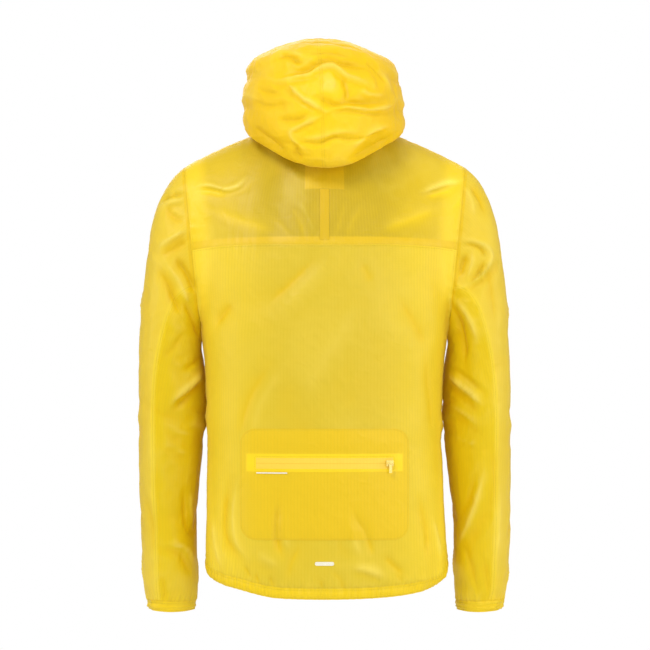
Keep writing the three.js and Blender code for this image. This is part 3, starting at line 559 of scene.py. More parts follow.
# %% Where the creases run
CREASES = [
    ("hood", "back", "shadow under the roll", -6, 5.5,
     [(67, 74), (49, 80), (26, 84), (15, 92), (-1, 100), (-15, 101), (-27, 95), (-49, 92),
      (-77, 84)]),
    ("hood", "back", "edge of the roll", 4, 4.5,
     [(92, 77), (75, 69), (44, 74), (26, 77), (15, 84), (-4, 91), (-19, 88), (-33, 77), (-57, 69),
      (-83, 58)]),
    ("hood", "back", "bowl, left lip", 4.5, 3.5,
     [(60, 66), (41, 46), (22, 32), (-1, 19)]),
    ("hood", "back", "bowl, right lip", 4.5, 4,
     [(-1, 19), (-33, 26), (-69, 23), (-98, 29), (-115, 41)]),
    ("hood", "back", "bowl, shadow inside", -5.5, 7,
     [(19, 46), (-1, 35), (-18, 29), (-41, 32), (-69, 32), (-95, 36)]),
    ("hood", "back", "bowl, upright edge", -4.5, 4.5,
     [(-26, 74), (-33, 55), (-36, 32)]),
    ("hood", "back", "bowl, soft middle", 4, 11,
     [(4, 61), (-18, 58)]),
    ("hood", "back", "right of the bowl", 2.5, 5,
     [(-52, 55), (-74, 47), (-95, 49)]),
    ("hood", "back", "lower crease", 3, 3.5,
     [(-1, 13), (15, 7), (41, -5), (52, -12), (49, -24), (39, -32), (26, -43)]),
    ("hood", "back", "lower crease, shadow", -3.6, 6,
     [(24, 16), (38, 7), (57, 6), (75, 9)]),
    ("hood", "back", "across the bottom", -3, 3.5,
     [(49, -36), (32, -29), (9, -32), (-15, -22), (-39, -24), (-67, -19), (-103, -5)]),
    ("hood", "back", "across the bottom, ridge", 2, 4,
     [(38, -22), (9, -21), (-21, -13), (-55, -12)]),
    ("hood", "back", "bottom, dark dart", -4.5, 5,
     [(43, -33), (43, -46), (33, -56)]),
    ("hood", "back", "left shadow", -5.5, 9,
     [(117, 4), (97, -16), (72, -35), (58, -49)]),
    ("hood", "back", "right shadow", -4.5, 8,
     [(-35, -53), (-58, -44), (-80, -32), (-112, -13)]),
    ("hood", "back", "right ridge", 3, 5,
     [(-39, -38), (-60, -22), (-80, -8), (-105, 2)]),
    ("hood", "back", "crown dent, left", -4.5, 6,
     [(74, 103), (57, 109), (43, 97), (33, 98)]),
    ("hood", "back", "crown ridge, left", 2.5, 4.5,
     [(84, 106), (69, 115), (46, 111), (29, 103)]),
    ("hood", "back", "crown, middle", 2, 5,
     [(26, 120), (-9, 125), (-43, 117)]),
    ("hood", "back", "crown, behind the middle", -2, 5,
     [(19, 111), (-15, 114), (-49, 103)]),
    ("hood", "back", "crown, right", -3, 5,
     [(-61, 102), (-81, 86), (-98, 64)]),
    ("hood", "back", "crown, far right", 2.5, 4.5,
     [(-74, 95), (-95, 75), (-108, 52)]),
    ("hood", "back", "left, small", -2, 5,
     [(106, 61), (91, 52), (69, 49)]),
    ("hood", "back", "left, smaller", -2, 5,
     [(112, 40), (88, 30), (53, 30)]),
    ("body", "back", "left shoulder crease", 2, 4.5,
     [(207, -92), (185, -90), (160, -97), (138, -92), (122, -75)]),
    ("body", "back", "left shoulder crease, shadow", -2.5, 5,
     [(200, -101), (179, -100), (154, -105)]),
    ("body", "back", "left sleeve head", -3, 4,
     [(261, -118), (248, -109), (220, -104)]),
    ("body", "back", "left sleeve head, ridge", 2.5, 5,
     [(266, -133), (252, -118), (223, -114)]),
    ("body", "back", "left upper arm dent", -2.5, 6,
     [(248, -120), (244, -136), (220, -149)]),
    ("body", "back", "left upper arm ridge", 4, 4,
     [(264, -190), (244, -176), (218, -160)]),
    ("body", "back", "left upper arm, shadow below", -4, 5,
     [(261, -202), (236, -191), (213, -174)]),
    ("body", "back", "left armhole fold", -5.5, 6,
     [(236, -204), (217, -231), (202, -266)]),
    ("body", "back", "left armhole ridge", 3, 4,
     [(252, -212), (229, -244), (213, -282)]),
    ("body", "back", "left armhole fold, outer", -4.5, 7,
     [(264, -222), (242, -260), (226, -301)]),
    ("body", "back", "left arm, under the fold", -4.5, 6,
     [(225, -272), (209, -301), (198, -336)]),
    ("body", "back", "yoke pucker 1", -0.6, 3,
     [(55, -123), (38, -151), (29, -179)]),
    ("body", "back", "yoke pucker 2", 0.5, 3,
     [(41, -115), (26, -142), (16, -167)]),
    ("body", "back", "yoke pucker 3", -0.6, 3,
     [(-34, -117), (-24, -151), (-15, -179)]),
    ("body", "back", "yoke pucker 4", -0.6, 4,
     [(-58, -126), (-43, -151), (-34, -179)]),
    ("body", "back", "yoke pucker 5", -0.6, 4,
     [(88, -139), (63, -161), (51, -183)]),
    ("body", "back", "yoke, left sag", -1.6, 11,
     [(185, -126), (132, -147), (76, -165)]),
    ("body", "back", "yoke, right sag", -1.6, 11,
     [(-186, -125), (-133, -145), (-87, -164)]),
    ("body", "back", "right shoulder crease", 2.2, 4.5,
     [(-152, -101), (-171, -95), (-193, -87), (-219, -84)]),
    ("body", "back", "right shoulder crease, shadow", -2.5, 5,
     [(-161, -109), (-183, -103), (-208, -97)]),
    ("body", "back", "right sleeve head", -3, 5,
     [(-229, -88), (-245, -109), (-255, -136)]),
    ("body", "back", "right sleeve head, ridge", 2.5, 5,
     [(-220, -91), (-233, -114), (-237, -142)]),
    ("body", "back", "right dent, rim", 4, 3.5,
     [(-212, -179), (-233, -179), (-255, -187), (-264, -204), (-252, -229), (-225, -249),
      (-207, -255)]),
    ("body", "back", "right dent, under its rim", -3, 4,
     [(-220, -184), (-239, -187), (-256, -203)]),
    ("body", "back", "right dent, by the seam", -4.5, 6,
     [(-225, -200), (-218, -217), (-213, -236)]),
    ("body", "back", "right dent, ridge in it", 3, 4,
     [(-235, -197), (-232, -217), (-225, -241)]),
    ("body", "back", "right dent, low side", -4.5, 5,
     [(-254, -209), (-244, -231), (-225, -250)]),
    ("body", "back", "right arm ridge", 3, 4,
     [(-204, -266), (-220, -287), (-233, -310), (-242, -339)]),
    ("body", "back", "right arm, shadow", -5, 6,
     [(-199, -282), (-212, -307), (-221, -344), (-221, -380)]),
    ("body", "back", "right arm, outer fold", -2, 7,
     [(-253, -212), (-264, -256), (-269, -314)]),
    ("body", "back", "back, long diagonal", -2.4, 7,
     [(20, -214), (52, -246), (88, -279)]),
    ("body", "back", "back, ridge by the diagonal", 0.6, 10,
     [(-9, -207), (32, -251), (76, -298)]),
    ("body", "back", "back, left corner", -3, 7,
     [(144, -278), (158, -293), (171, -312)]),
    ("body", "back", "back, left lower", -2, 8,
     [(85, -373), (118, -427), (135, -491)]),
    ("body", "back", "back, left lower ridge", 1, 10,
     [(63, -376), (98, -432), (116, -491)]),
    ("body", "back", "back, right tick", -1.8, 7,
     [(-58, -214), (-73, -245)]),
    ("body", "back", "back, right diagonal", -2.6, 8,
     [(-115, -270), (-140, -307), (-160, -348)]),
    ("body", "back", "back, right lower", -1.8, 8,
     [(-158, -360), (-166, -426), (-171, -491)]),
    ("body", "back", "back, middle sag", 0.8, 18,
     [(-55, -273), (-9, -351), (38, -429)]),
    ("body", "back", "tail, left upright", -3.6, 6,
     [(151, -563), (157, -608), (155, -647), (132, -682)]),
    ("body", "back", "tail, left ridge", 2, 5,
     [(138, -563), (143, -608), (138, -652), (119, -679)]),
    ("body", "back", "tail, second upright", -4.2, 5,
     [(69, -582), (74, -616), (74, -647), (65, -679)]),
    ("body", "back", "tail, second ridge", 1.8, 5,
     [(60, -601), (63, -635), (55, -666)]),
    ("body", "back", "tail, third upright", -3, 5,
     [(-44, -597), (-52, -619), (-65, -638), (-76, -679)]),
    ("body", "back", "tail, third ridge", 1.6, 5,
     [(-37, -616), (-46, -647), (-58, -675)]),
    ("body", "back", "tail, left bulge", 1.2, 8,
     [(107, -666), (88, -679), (68, -688)]),
    ("body", "back", "tail, right bulge", 2.6, 6,
     [(-43, -688), (-68, -694), (-96, -705)]),
    ("body", "back", "tail, right fold", -3.2, 5,
     [(-93, -674), (-110, -691), (-126, -704)]),
    ("body", "back", "tail, far right", -2.4, 7,
     [(-147, -582), (-160, -632), (-165, -679)]),
    ("body", "back", "tail, right corner", 2.2, 4,
     [(-171, -616), (-180, -655), (-185, -682)]),
    ("body", "back", "tail, left corner", 2, 5,
     [(177, -616), (172, -660), (160, -697)]),
    ("body", "back", "tail, small left", -1.8, 5,
     [(38, -657), (51, -682), (58, -710)]),
    ("body", "back", "tail, pucker 1", -2.4, 2.8,
     [(127, -690), (121, -699), (115, -711)]),
    ("body", "back", "tail, pucker 2", -2.6, 2.8,
     [(108, -699), (105, -711), (102, -725)]),
    ("body", "back", "tail, pucker 3", -2.4, 2.8,
     [(86, -704), (83, -714), (80, -726)]),
    ("body", "back", "tail, pucker 4", -2, 2.8,
     [(7, -708), (5, -717), (2, -728)]),
    ("body", "back", "tail, pucker 5", -2, 2.8,
     [(-110, -700), (-118, -708), (-124, -716)]),
    ("body", "back", "tail, small right", -1.5, 5,
     [(-9, -697), (-24, -710), (-30, -729)]),
    ("body", "back", "left elbow ridge", 4.5, 4,
     [(190, -385), (213, -407), (244, -436)]),
    ("body", "back", "left elbow, shadow", -4.5, 6,
     [(188, -399), (212, -422), (242, -450)]),
    ("body", "back", "left above the elbow", -3, 5,
     [(190, -352), (206, -371), (228, -387)]),
    ("body", "back", "left above the elbow, outer", -2, 6,
     [(220, -320), (239, -349), (261, -368)]),
    ("body", "back", "left forearm wrinkle 1", 1.8, 3,
     [(258, -469), (236, -477), (210, -490)]),
    ("body", "back", "left forearm wrinkle 2", -1.8, 3,
     [(255, -483), (234, -493), (213, -507)]),
    ("body", "back", "left forearm wrinkle 3", 1.8, 3,
     [(256, -501), (236, -509), (213, -522)]),
    ("body", "back", "left forearm wrinkle 4", -1.8, 4,
     [(277, -437), (261, -453), (236, -463)]),
    ("body", "back", "left forearm upright", -3, 4,
     [(225, -571), (223, -599), (220, -631), (204, -663)]),
    ("body", "back", "left forearm upright ridge", 2, 4,
     [(213, -574), (213, -609), (209, -637)]),
    ("body", "back", "left wrist ridge", 3.2, 4,
     [(261, -660), (239, -661), (218, -672), (204, -701)]),
    ("body", "back", "left wrist, shadow", -3, 4.5,
     [(264, -672), (242, -674), (225, -687), (213, -717)]),
    ("body", "back", "left forearm outer", -2, 6,
     [(283, -590), (274, -637), (274, -685)]),
    ("body", "back", "left cuff fold", -2, 4,
     [(261, -714), (256, -736), (255, -758)]),
    ("body", "back", "right elbow ridge", 4.5, 4,
     [(-194, -390), (-218, -410), (-250, -436)]),
    ("body", "back", "right elbow, shadow above", -3.4, 4,
     [(-199, -377), (-228, -398), (-256, -422)]),
    ("body", "back", "right elbow, shadow below", -4, 5,
     [(-193, -409), (-215, -428), (-247, -452)]),
    ("body", "back", "right forearm wrinkle 1", 2, 4,
     [(-198, -437), (-221, -452), (-244, -469)]),
    ("body", "back", "right forearm wrinkle 2", -2, 4,
     [(-198, -456), (-225, -472), (-253, -485)]),
    ("body", "back", "right forearm wrinkle 3", 1.6, 4,
     [(-202, -488), (-228, -498), (-250, -501)]),
    ("body", "back", "right forearm ridge", 3.6, 4,
     [(-253, -545), (-245, -577), (-236, -607), (-225, -637), (-209, -672)]),
    ("body", "back", "right forearm, shadow", -3.2, 5,
     [(-242, -548), (-229, -590), (-213, -628)]),
    ("body", "back", "right wrist fold", -2.6, 5,
     [(-218, -656), (-231, -688), (-244, -736)]),
    ("body", "back", "right forearm outer", -2, 6,
     [(-264, -495), (-271, -558), (-267, -625)]),
    ("body", "back", "right forearm outer ridge", 1.8, 6,
     [(-279, -558), (-279, -622), (-274, -695)]),
    ("body", "back", "right wrist outer", -2, 5,
     [(-253, -685), (-260, -717), (-263, -748)]),
    ("body", "front", "left chest drape", -3.4, 9,
     [(58, -132), (98, -182), (136, -252)]),
    ("body", "front", "left chest drape, ridge", 2, 10,
     [(40, -150), (82, -206), (112, -280)]),
    ("body", "front", "left front, middle", -2, 11,
     [(44, -300), (84, -356), (104, -432)]),
    ("body", "front", "left front, outer", -2.6, 8,
     [(150, -380), (140, -450), (148, -520)]),
    ("body", "front", "left front, low upright", -3.2, 7,
     [(128, -520), (118, -580), (124, -650)]),
    ("body", "front", "left front, low ridge", 2.4, 7,
     [(104, -540), (96, -600), (102, -656)]),
    ("body", "front", "left front, by the zip", -2.6, 6,
     [(44, -566), (38, -620), (46, -672)]),
    ("body", "front", "left shoulder crease", 3.2, 5,
     [(222, -96), (190, -90), (160, -100)]),
    ("body", "front", "left armhole fold", -3.4, 6,
     [(196, -212), (206, -262), (214, -316)]),
    ("body", "front", "left upper arm fold", -3, 6,
     [(258, -150), (240, -196), (232, -250)]),
    ("body", "front", "left elbow fold", -4.6, 5,
     [(204, -452), (232, -424), (268, -408)]),
    ("body", "front", "left elbow ridge", 4.2, 4,
     [(204, -470), (234, -444), (270, -428)]),
    ("body", "front", "left elbow, low fold", -3.6, 5,
     [(206, -492), (236, -468), (272, -452)]),
    ("body", "front", "left forearm ridge", 2.8, 4,
     [(214, -548), (240, -520), (266, -506)]),
    ("body", "front", "left forearm fold", -2.8, 5,
     [(214, -566), (238, -542), (266, -528)]),
    ("body", "front", "left wrist fold", -2.6, 5,
     [(236, -640), (240, -676), (232, -716)]),
    ("body", "left", "left sleeve, head fold", -2.8, 7,
     [(-34, -140), (-4, -168), (26, -216)]),
    ("body", "left", "left sleeve, upper ridge", 2.6, 6,
     [(-40, -236), (-6, -256), (30, -300)]),
    ("body", "left", "left sleeve, elbow fold 1", -2, 6,
     [(-58, -420), (-14, -440), (36, -428)]),
    ("body", "left", "left sleeve, elbow ridge", 1.6, 6,
     [(-60, -440), (-14, -462), (34, -452)]),
    ("body", "left", "left sleeve, elbow fold 2", -1.8, 6,
     [(-58, -466), (-14, -486), (30, -478)]),
    ("body", "left", "left sleeve, forearm", -2.6, 6,
     [(-56, -566), (-26, -600), (2, -640)]),
    ("body", "left", "left sleeve, wrist", 2.2, 5,
     [(-58, -660), (-34, -690), (-20, -726)]),
    ("hood", "left", "left hood side fold 1", -1.7, 7,
     [(-66, 46.0), (-10, 26.0), (56, 34.0), (112, 12.0)]),
    ("hood", "left", "left hood side ridge 1", 1.5, 6,
     [(-70, 60.0), (-10, 44.0), (60, 52.0), (122, 34.0)]),
    ("hood", "left", "left hood side fold 2", -0.7, 7,
     [(-40, 88.0), (20, 76.0), (88, 88.0)]),
    ("hood", "left", "left hood side ridge 2", 0.7, 7,
     [(-30, 102.0), (30, 92.0), (90, 104.0)]),
    ("hood", "left", "left hood side, low fold", -1.3, 6,
     [(-60, 10.0), (-10, -2.0), (50, 4.0)]),
    ("body", "front", "right chest drape", -3.4, 9,
     [(-58, -146), (-98, -196), (-136, -266)]),
    ("body", "front", "right chest drape, ridge", 2, 10,
     [(-40, -164), (-82, -220), (-112, -294)]),
    ("body", "front", "right front, middle", -2, 11,
     [(-44, -314), (-84, -370), (-104, -446)]),
    ("body", "front", "right front, outer", -2.6, 8,
     [(-150, -394), (-140, -464), (-148, -534)]),
    ("body", "front", "right front, low upright", -3.2, 7,
     [(-128, -534), (-118, -594), (-124, -664)]),
    ("body", "front", "right front, low ridge", 2.4, 7,
     [(-104, -554), (-96, -614), (-102, -670)]),
    ("body", "front", "right front, by the zip", -2.6, 6,
     [(-44, -580), (-38, -634), (-46, -686)]),
    ("body", "front", "right shoulder crease", 3.2, 5,
     [(-222, -110), (-190, -104), (-160, -114)]),
    ("body", "front", "right armhole fold", -3.4, 6,
     [(-196, -226), (-206, -276), (-214, -330)]),
    ("body", "front", "right upper arm fold", -3, 6,
     [(-258, -164), (-240, -210), (-232, -264)]),
    ("body", "front", "right elbow fold", -4.6, 5,
     [(-204, -466), (-232, -438), (-268, -422)]),
    ("body", "front", "right elbow ridge", 4.2, 4,
     [(-204, -484), (-234, -458), (-270, -442)]),
    ("body", "front", "right elbow, low fold", -3.6, 5,
     [(-206, -506), (-236, -482), (-272, -466)]),
    ("body", "front", "right forearm ridge", 2.8, 4,
     [(-214, -562), (-240, -534), (-266, -520)]),
    ("body", "front", "right forearm fold", -2.8, 5,
     [(-214, -580), (-238, -556), (-266, -542)]),
    ("body", "front", "right wrist fold", -2.6, 5,
     [(-236, -654), (-240, -690), (-232, -730)]),
    ("body", "right", "right sleeve, head fold", -2.8, 7,
     [(-34, -154), (-4, -182), (26, -230)]),
    ("body", "right", "right sleeve, upper ridge", 2.6, 6,
     [(-40, -250), (-6, -270), (30, -314)]),
    ("body", "right", "right sleeve, elbow fold 1", -2, 6,
     [(-58, -434), (-14, -454), (36, -442)]),
    ("body", "right", "right sleeve, elbow ridge", 1.6, 6,
     [(-60, -454), (-14, -476), (34, -466)]),
    ("body", "right", "right sleeve, elbow fold 2", -1.8, 6,
     [(-58, -480), (-14, -500), (30, -492)]),
    ("body", "right", "right sleeve, forearm", -2.6, 6,
     [(-56, -580), (-26, -614), (2, -654)]),
    ("body", "right", "right sleeve, wrist", 2.2, 5,
     [(-58, -674), (-34, -704), (-20, -740)]),
    ("hood", "right", "right hood side fold 1", -1.7, 7,
     [(-66, 40.4), (-10, 20.4), (56, 28.4), (112, 6.3999999999999995)]),
    ("hood", "right", "right hood side ridge 1", 1.5, 6,
     [(-70, 54.4), (-10, 38.4), (60, 46.4), (122, 28.4)]),
    ("hood", "right", "right hood side fold 2", -1.5, 6,
     [(-40, 82.4), (20, 70.4), (88, 82.4)]),
    ("hood", "right", "right hood side ridge 2", 1.3, 6,
     [(-30, 96.4), (30, 86.4), (90, 98.4)]),
    ("hood", "right", "right hood side, low fold", -1.3, 6,
     [(-60, 4.3999999999999995), (-10, -7.6000000000000005), (50, -1.6000000000000005)]),
    ("hood", "top", "crown fold, front", -2.6, 6,
     [(-62, -30), (-6, -16), (58, -34)]),
    ("hood", "top", "crown ridge, front", 2.4, 7,
     [(-58, -8), (0, 8), (60, -10)]),
    ("hood", "top", "crown fold, middle", -2.8, 7,
     [(-70, 36), (-10, 48), (64, 26)]),
    ("hood", "top", "crown ridge, middle", 2.4, 7,
     [(-66, 66), (0, 74), (62, 52)]),
    ("hood", "top", "crown fold, back", -2.6, 6,
     [(-60, 100), (0, 104), (56, 88)]),
]
print(len(CREASES), "creases")

# %% Pressing the creases in
FACING = {
    "back": ((0, 2), (0, 1, 0)), "front": ((0, 2), (0, -1, 0)), "top": ((0, 1), (0, 0, 1)),
    "left": ((1, 2), (1, 0, 0)), "right": ((1, 2), (-1, 0, 0)),
}
ROUNDING = 5
SHARPNESS = 1.2
CRISP = {"rise": 1.15, "width": 0.86}


def rounded(line):
    """More points on a line, so that it bends softly (a Catmull-Rom curve)."""
    ends = [2 * line[0] - line[1], *line, 2 * line[-1] - line[-2]]
    points = []
    for a, b, c, d in zip(ends, ends[1:], ends[2:], ends[3:]):
        for t in np.arange(ROUNDING) / ROUNDING:
            points.append(0.5 * (2 * b + (c - a) * t + (2 * a - 5 * b + 4 * c - d) * t ** 2
                                 + (3 * b - a - 3 * c + d) * t ** 3))
    return np.array([*points, line[-1]])


def nearest_on(line, flat):
    """Distance of points to a line, how far along it they are, and if they are below it."""
    steps = np.diff(line, axis=0)
    lengths = np.hypot(*steps.T)
    starts = np.concatenate([[0], np.cumsum(lengths)])
    nearest = np.full(len(flat), np.inf)
    along, below = np.zeros(len(flat)), np.zeros(len(flat))
    for start, step, length, begins in zip(line, steps, lengths, starts):
        share = np.clip((flat - start) @ step / length ** 2, 0, 1)
        gap = flat - start - share[:, None] * step
        distance = np.hypot(*gap.T)
        closer = distance < nearest
        nearest[closer] = distance[closer]
        along[closer] = (begins + share[closer] * length) / starts[-1]
        below[closer] = -gap[closer, 1] / np.maximum(distance[closer], 1e-9)
    return nearest, along, below


def crease_moves(places, normals):
    moves = np.zeros(len(places))
    for part, side, _, rise, width, line in CREASES:
        axes, outward = FACING[side]
        line = rounded(np.array(line, float) * MM)
        rise, width = rise * CRISP["rise"] * MM, width * CRISP["width"] * MM
        flat = places[:, axes]
        reach = 4 * width
        near = np.all((flat > line.min(0) - reach) & (flat < line.max(0) + reach), axis=1)
        near &= (HOOD_SHARE > 0.4) if part == "hood" else (HOOD_SHARE < 0.6)
        faces = smoothstep(0.1, 0.5, normals @ np.array(outward))
        chosen = np.flatnonzero(near & (faces > 0))
        distance, along, below = nearest_on(line, flat[chosen])
        ends = smoothstep(0, 0.3, along) * smoothstep(0, 0.3, 1 - along)
        profile = np.exp(-(distance / width) ** SHARPNESS)
        if rise > 0:
            profile -= 0.4 * bump(distance * below, 2 * width, width)
        moves[chosen] += rise * profile * (0.15 + 0.85 * ends) * faces[chosen]
    return moves * (1 - 0.7 * FIRM_SHARE)


creases = crease_moves(read(skin.data.vertices, "co", 3), read(skin.data.vertices, "normal", 3))
FOLD_SHADING += creases / (3.2 * MM)
press(creases)

# %% [markdown]
# ## Crumple
#
# Thin nylon never lies quite smooth: between the large folds it buckles into small facets with
# soft edges. Blender's own noise, which gives the same result each time, bends the cloth a
# little, most on the slack hood and sleeves and least on the flat back.

# %% Small unevenness
def crumple_moves(places):
    sway, facets = np.empty(POINTS), np.empty(POINTS)
    for index, place in enumerate(places):
        spot = Vector(place)
        drift = Vector((noise.noise(spot * 9), noise.noise(spot * 9 + Vector((5, 0, 0))), 0))
        spot = spot + drift * 0.012
        sway[index] = noise.noise(Vector((spot.x, spot.y, spot.z * 0.7)) * 15)
        facets[index] = (abs(noise.noise(spot * 38)) + 0.5 * abs(noise.noise(spot * 75)))
    sway_height = 1.2 + 1.2 * HOOD_SHARE + 1.0 * SLEEVE_SHARE - 0.2 * BACK_SHARE
    facet_height = 0.9 + 1.1 * HOOD_SHARE + 0.7 * SLEEVE_SHARE - 0.3 * BACK_SHARE
    moves = sway * sway_height - (facets - 0.35) * facet_height
    return moves * MM * (1 - 0.8 * FIRM_SHARE)


crumples = crumple_moves(read(skin.data.vertices, "co", 3))
FOLD_SHADING += crumples / (3.2 * MM) * 0.6
press(crumples)

# %% [markdown]
# ## Seams, hem and cuffs
#
# A seam in thin cloth pulls a fine groove, stands a little proud on its folded allowance and
# puckers beside it. The hem and the cuffs hold elastic, which gathers the cloth above them.

# %% Seams and gathers
SEAM = {"groove": -0.3, "groove_width": 1.6, "lip": 0.2, "pucker": 0.55, "pucker_reach": 12,
        "pucker_length": 17, "on_hood": 0.35}
GATHERS = {"hem": (11, 0.9, 13), "cuff": (9, 0.8, 11)}
CASING = {"bulge": 1.1, "wrinkle": 0.7}


def wave(length, shift):
    """A wave along the panel whose crests come unevenly, as gathers do."""
    uneven = 0.35 * np.sin(ACROSS * 61 + CORNER_PANEL * 1.7) + 0.3 * np.sin(ACROSS * 137 + shift)
    return np.sin(2 * np.pi * (ACROSS / (length * MM) + uneven) + shift)


def seam_moves():
    edge = np.minimum.reduce([LEFT, RIGHT, LOW, HIGH]) / MM
    sides = np.minimum(LEFT, RIGHT) < np.minimum(LOW, HIGH)
    along = np.where(sides, LOW, ACROSS) / MM
    moves = SEAM["groove"] * bump(edge, 0, SEAM["groove_width"])
    moves += SEAM["lip"] * bump(edge, 4.5, 3)
    pucker = np.sin(2 * np.pi * along / SEAM["pucker_length"] + 2 * np.sin(along / 23))
    strength = 0.5 + 0.5 * np.sin(along / 31 + CORNER_PANEL)
    fade = smoothstep(0.5, 3, edge) * np.exp(-edge / SEAM["pucker_reach"])
    moves += SEAM["pucker"] * pucker * strength * fade
    return moves * np.where(np.isin(CORNER_PANEL, hood_numbers), SEAM["on_hood"], 1)


def gather_moves(kind, above, casing):
    length, height, reach = GATHERS[kind]
    gathered = np.isin(CORNER_PANEL, above)
    fold = wave(length, 0.4) * height * np.exp(-(LOW / MM / reach) ** 1.3)
    moves = np.where(gathered, fold, 0)
    in_casing = np.isin(CORNER_PANEL, casing)
    middle = np.minimum(np.minimum(LOW, HIGH), np.minimum(LEFT, RIGHT)) / MM
    band = CASING["bulge"] * smoothstep(0, 6, middle) + CASING["wrinkle"] * wave(length, 0.4)
    return moves + np.where(in_casing, band, 0)


moves = seam_moves()
moves += gather_moves("hem", panel_numbers("back_panel", "front_left", "front_right"),
                      panel_numbers("hem"))
moves += gather_moves("cuff", panel_numbers("sleeve"), panel_numbers("cuff"))
press(to_points(moves) * MM)
# The fold attribute carries these heights to the material, which paints shade into the troughs and a
# highlight onto the ridges.
fold = skin.data.attributes.new("fold", "FLOAT", "POINT")
fold.data.foreach_set("value", np.clip(FOLD_SHADING, -1, 1).astype(np.float32))

# %% [markdown]
# ## Back into panels
#
# The pressed skin is cut at its seams, so that each panel is a piece of its own that stands for
# its CAD solid. Solidify gives it the thickness of cloth, inwards, and the cut edges are sharp so
# that they don't darken the faces beside them.

# %% Cutting the skin at its seams
CLOTH_THICKNESS = 0.35 * MM


def keep_edges_sharp(mesh):
    bm = bmesh.new()
    bm.from_mesh(mesh)
    for face in bm.faces:
        face.smooth = True
    for edge in bm.edges:
        edge.smooth = not edge.is_boundary
    bm.to_mesh(mesh)
    bm.free()


def thicken(piece, thickness=CLOTH_THICKNESS):
    wall = piece.modifiers.new("wall", "SOLIDIFY")
    wall.thickness = thickness
    wall.offset = -1


bpy.context.view_layer.objects.active = skin
skin.select_set(True)
body_faces = [tuple(face.vertices) for face in skin.data.polygons
              if face.material_index not in hood_numbers]
skin_tree = BVHTree.FromPolygons([vert.co for vert in skin.data.vertices], body_faces)
before = set(bpy.data.objects)
with bpy.context.temp_override(active_object=skin, object=skin, selected_objects=[skin],
                               selected_editable_objects=[skin]):
    bpy.ops.object.mode_set(mode="EDIT")
    bpy.ops.mesh.select_all(action="SELECT")
    bpy.ops.mesh.separate(type="MATERIAL")
    bpy.ops.object.mode_set(mode="OBJECT")

panels = {}
for piece in [skin, *(set(bpy.data.objects) - before)]:
    used = piece.data.materials[piece.data.polygons[0].material_index].name
    name = used.removesuffix("_cloth")
    piece.name = piece.data.name = used
    piece.select_set(False)
    keep_edges_sharp(piece.data)
    thicken(piece)
    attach(piece, "jacket")
    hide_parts(name)
    panels[name] = piece
print(len(panels), "panels, the largest of", max(len(p.data.polygons) for p in panels.values()))

# %% [markdown]
# ## Pieces laid on the cloth
#
# The pocket, the zip tapes, the strip, the patch and the bars are flat cuts that lie on a panel.
# Each starts as a flat grid, gets its outline, and is then dropped square onto the skin, so it
# takes over the folds below it.

# %% A flat cut, dropped onto the skin
def flat_grid(x, z, cell):
    """An upright grid that faces the back, between two places in x and in z, in mm."""
    bm = bmesh.new()
    counts = [max(1, round((high - low) / cell)) for low, high in (x, z)]
    bmesh.ops.create_grid(bm, x_segments=counts[0], y_segments=counts[1], size=0.5 * MM)
    for vert in bm.verts:
        share = vert.co / MM + Vector((0.5, 0.5, 0))
        vert.co = Vector((x[1] - share.x * (x[1] - x[0]), 0, z[0] + share.y * (z[1] - z[0]))) * MM
    return bm


def round_corners(bm, x, z, radius):
    """Pulls a square corner's cells onto a quarter circle."""
    middle = Vector(((x[0] + x[1]) / 2, 0, (z[0] + z[1]) / 2)) * MM
    flat_part = Vector(((x[1] - x[0]) / 2 - radius, 0, (z[1] - z[0]) / 2 - radius)) * MM
    for vert in bm.verts:
        place = vert.co - middle
        over = Vector((abs(place.x) - flat_part.x, 0, abs(place.z) - flat_part.z))
        if over.x > 0 and over.z > 0:
            over *= max(over.x, over.z) / over.length
            vert.co.x = middle.x + math.copysign(flat_part.x + over.x, place.x)
            vert.co.z = middle.z + math.copysign(flat_part.z + over.z, place.z)


def cut_window(bm, x, z):
    """Leaves a rectangle out of a flat cut."""
    for axis, values in (((1, 0, 0), x), ((0, 0, 1), z)):
        for value in values:
            everything = list(bm.verts) + list(bm.edges) + list(bm.faces)
            bmesh.ops.bisect_plane(bm, geom=everything, dist=0.01 * MM,
                                   plane_co=Vector(axis) * value * MM, plane_no=axis)
    inside = [face for face in bm.faces
              if x[0] < face.calc_center_median().x / MM < x[1]
              and z[0] < face.calc_center_median().z / MM < z[1]]
    bmesh.ops.delete(bm, geom=inside, context="FACES")


def edge_distance(place, x, z, radius, window):
    """How far a place on a flat cut is from its outline, or from its window's."""
    def inset(x, z, radius):
        over = [abs(place.x / MM - (x[0] + x[1]) / 2) - (x[1] - x[0]) / 2 + radius,
                abs(place.z / MM - (z[0] + z[1]) / 2) - (z[1] - z[0]) / 2 + radius]
        outside = math.hypot(max(over[0], 0), max(over[1], 0))
        return radius - outside - min(max(over), 0)
    distance = inset(x, z, radius)
    if window:
        distance = min(distance, -inset(*window, 0))
    return distance * MM


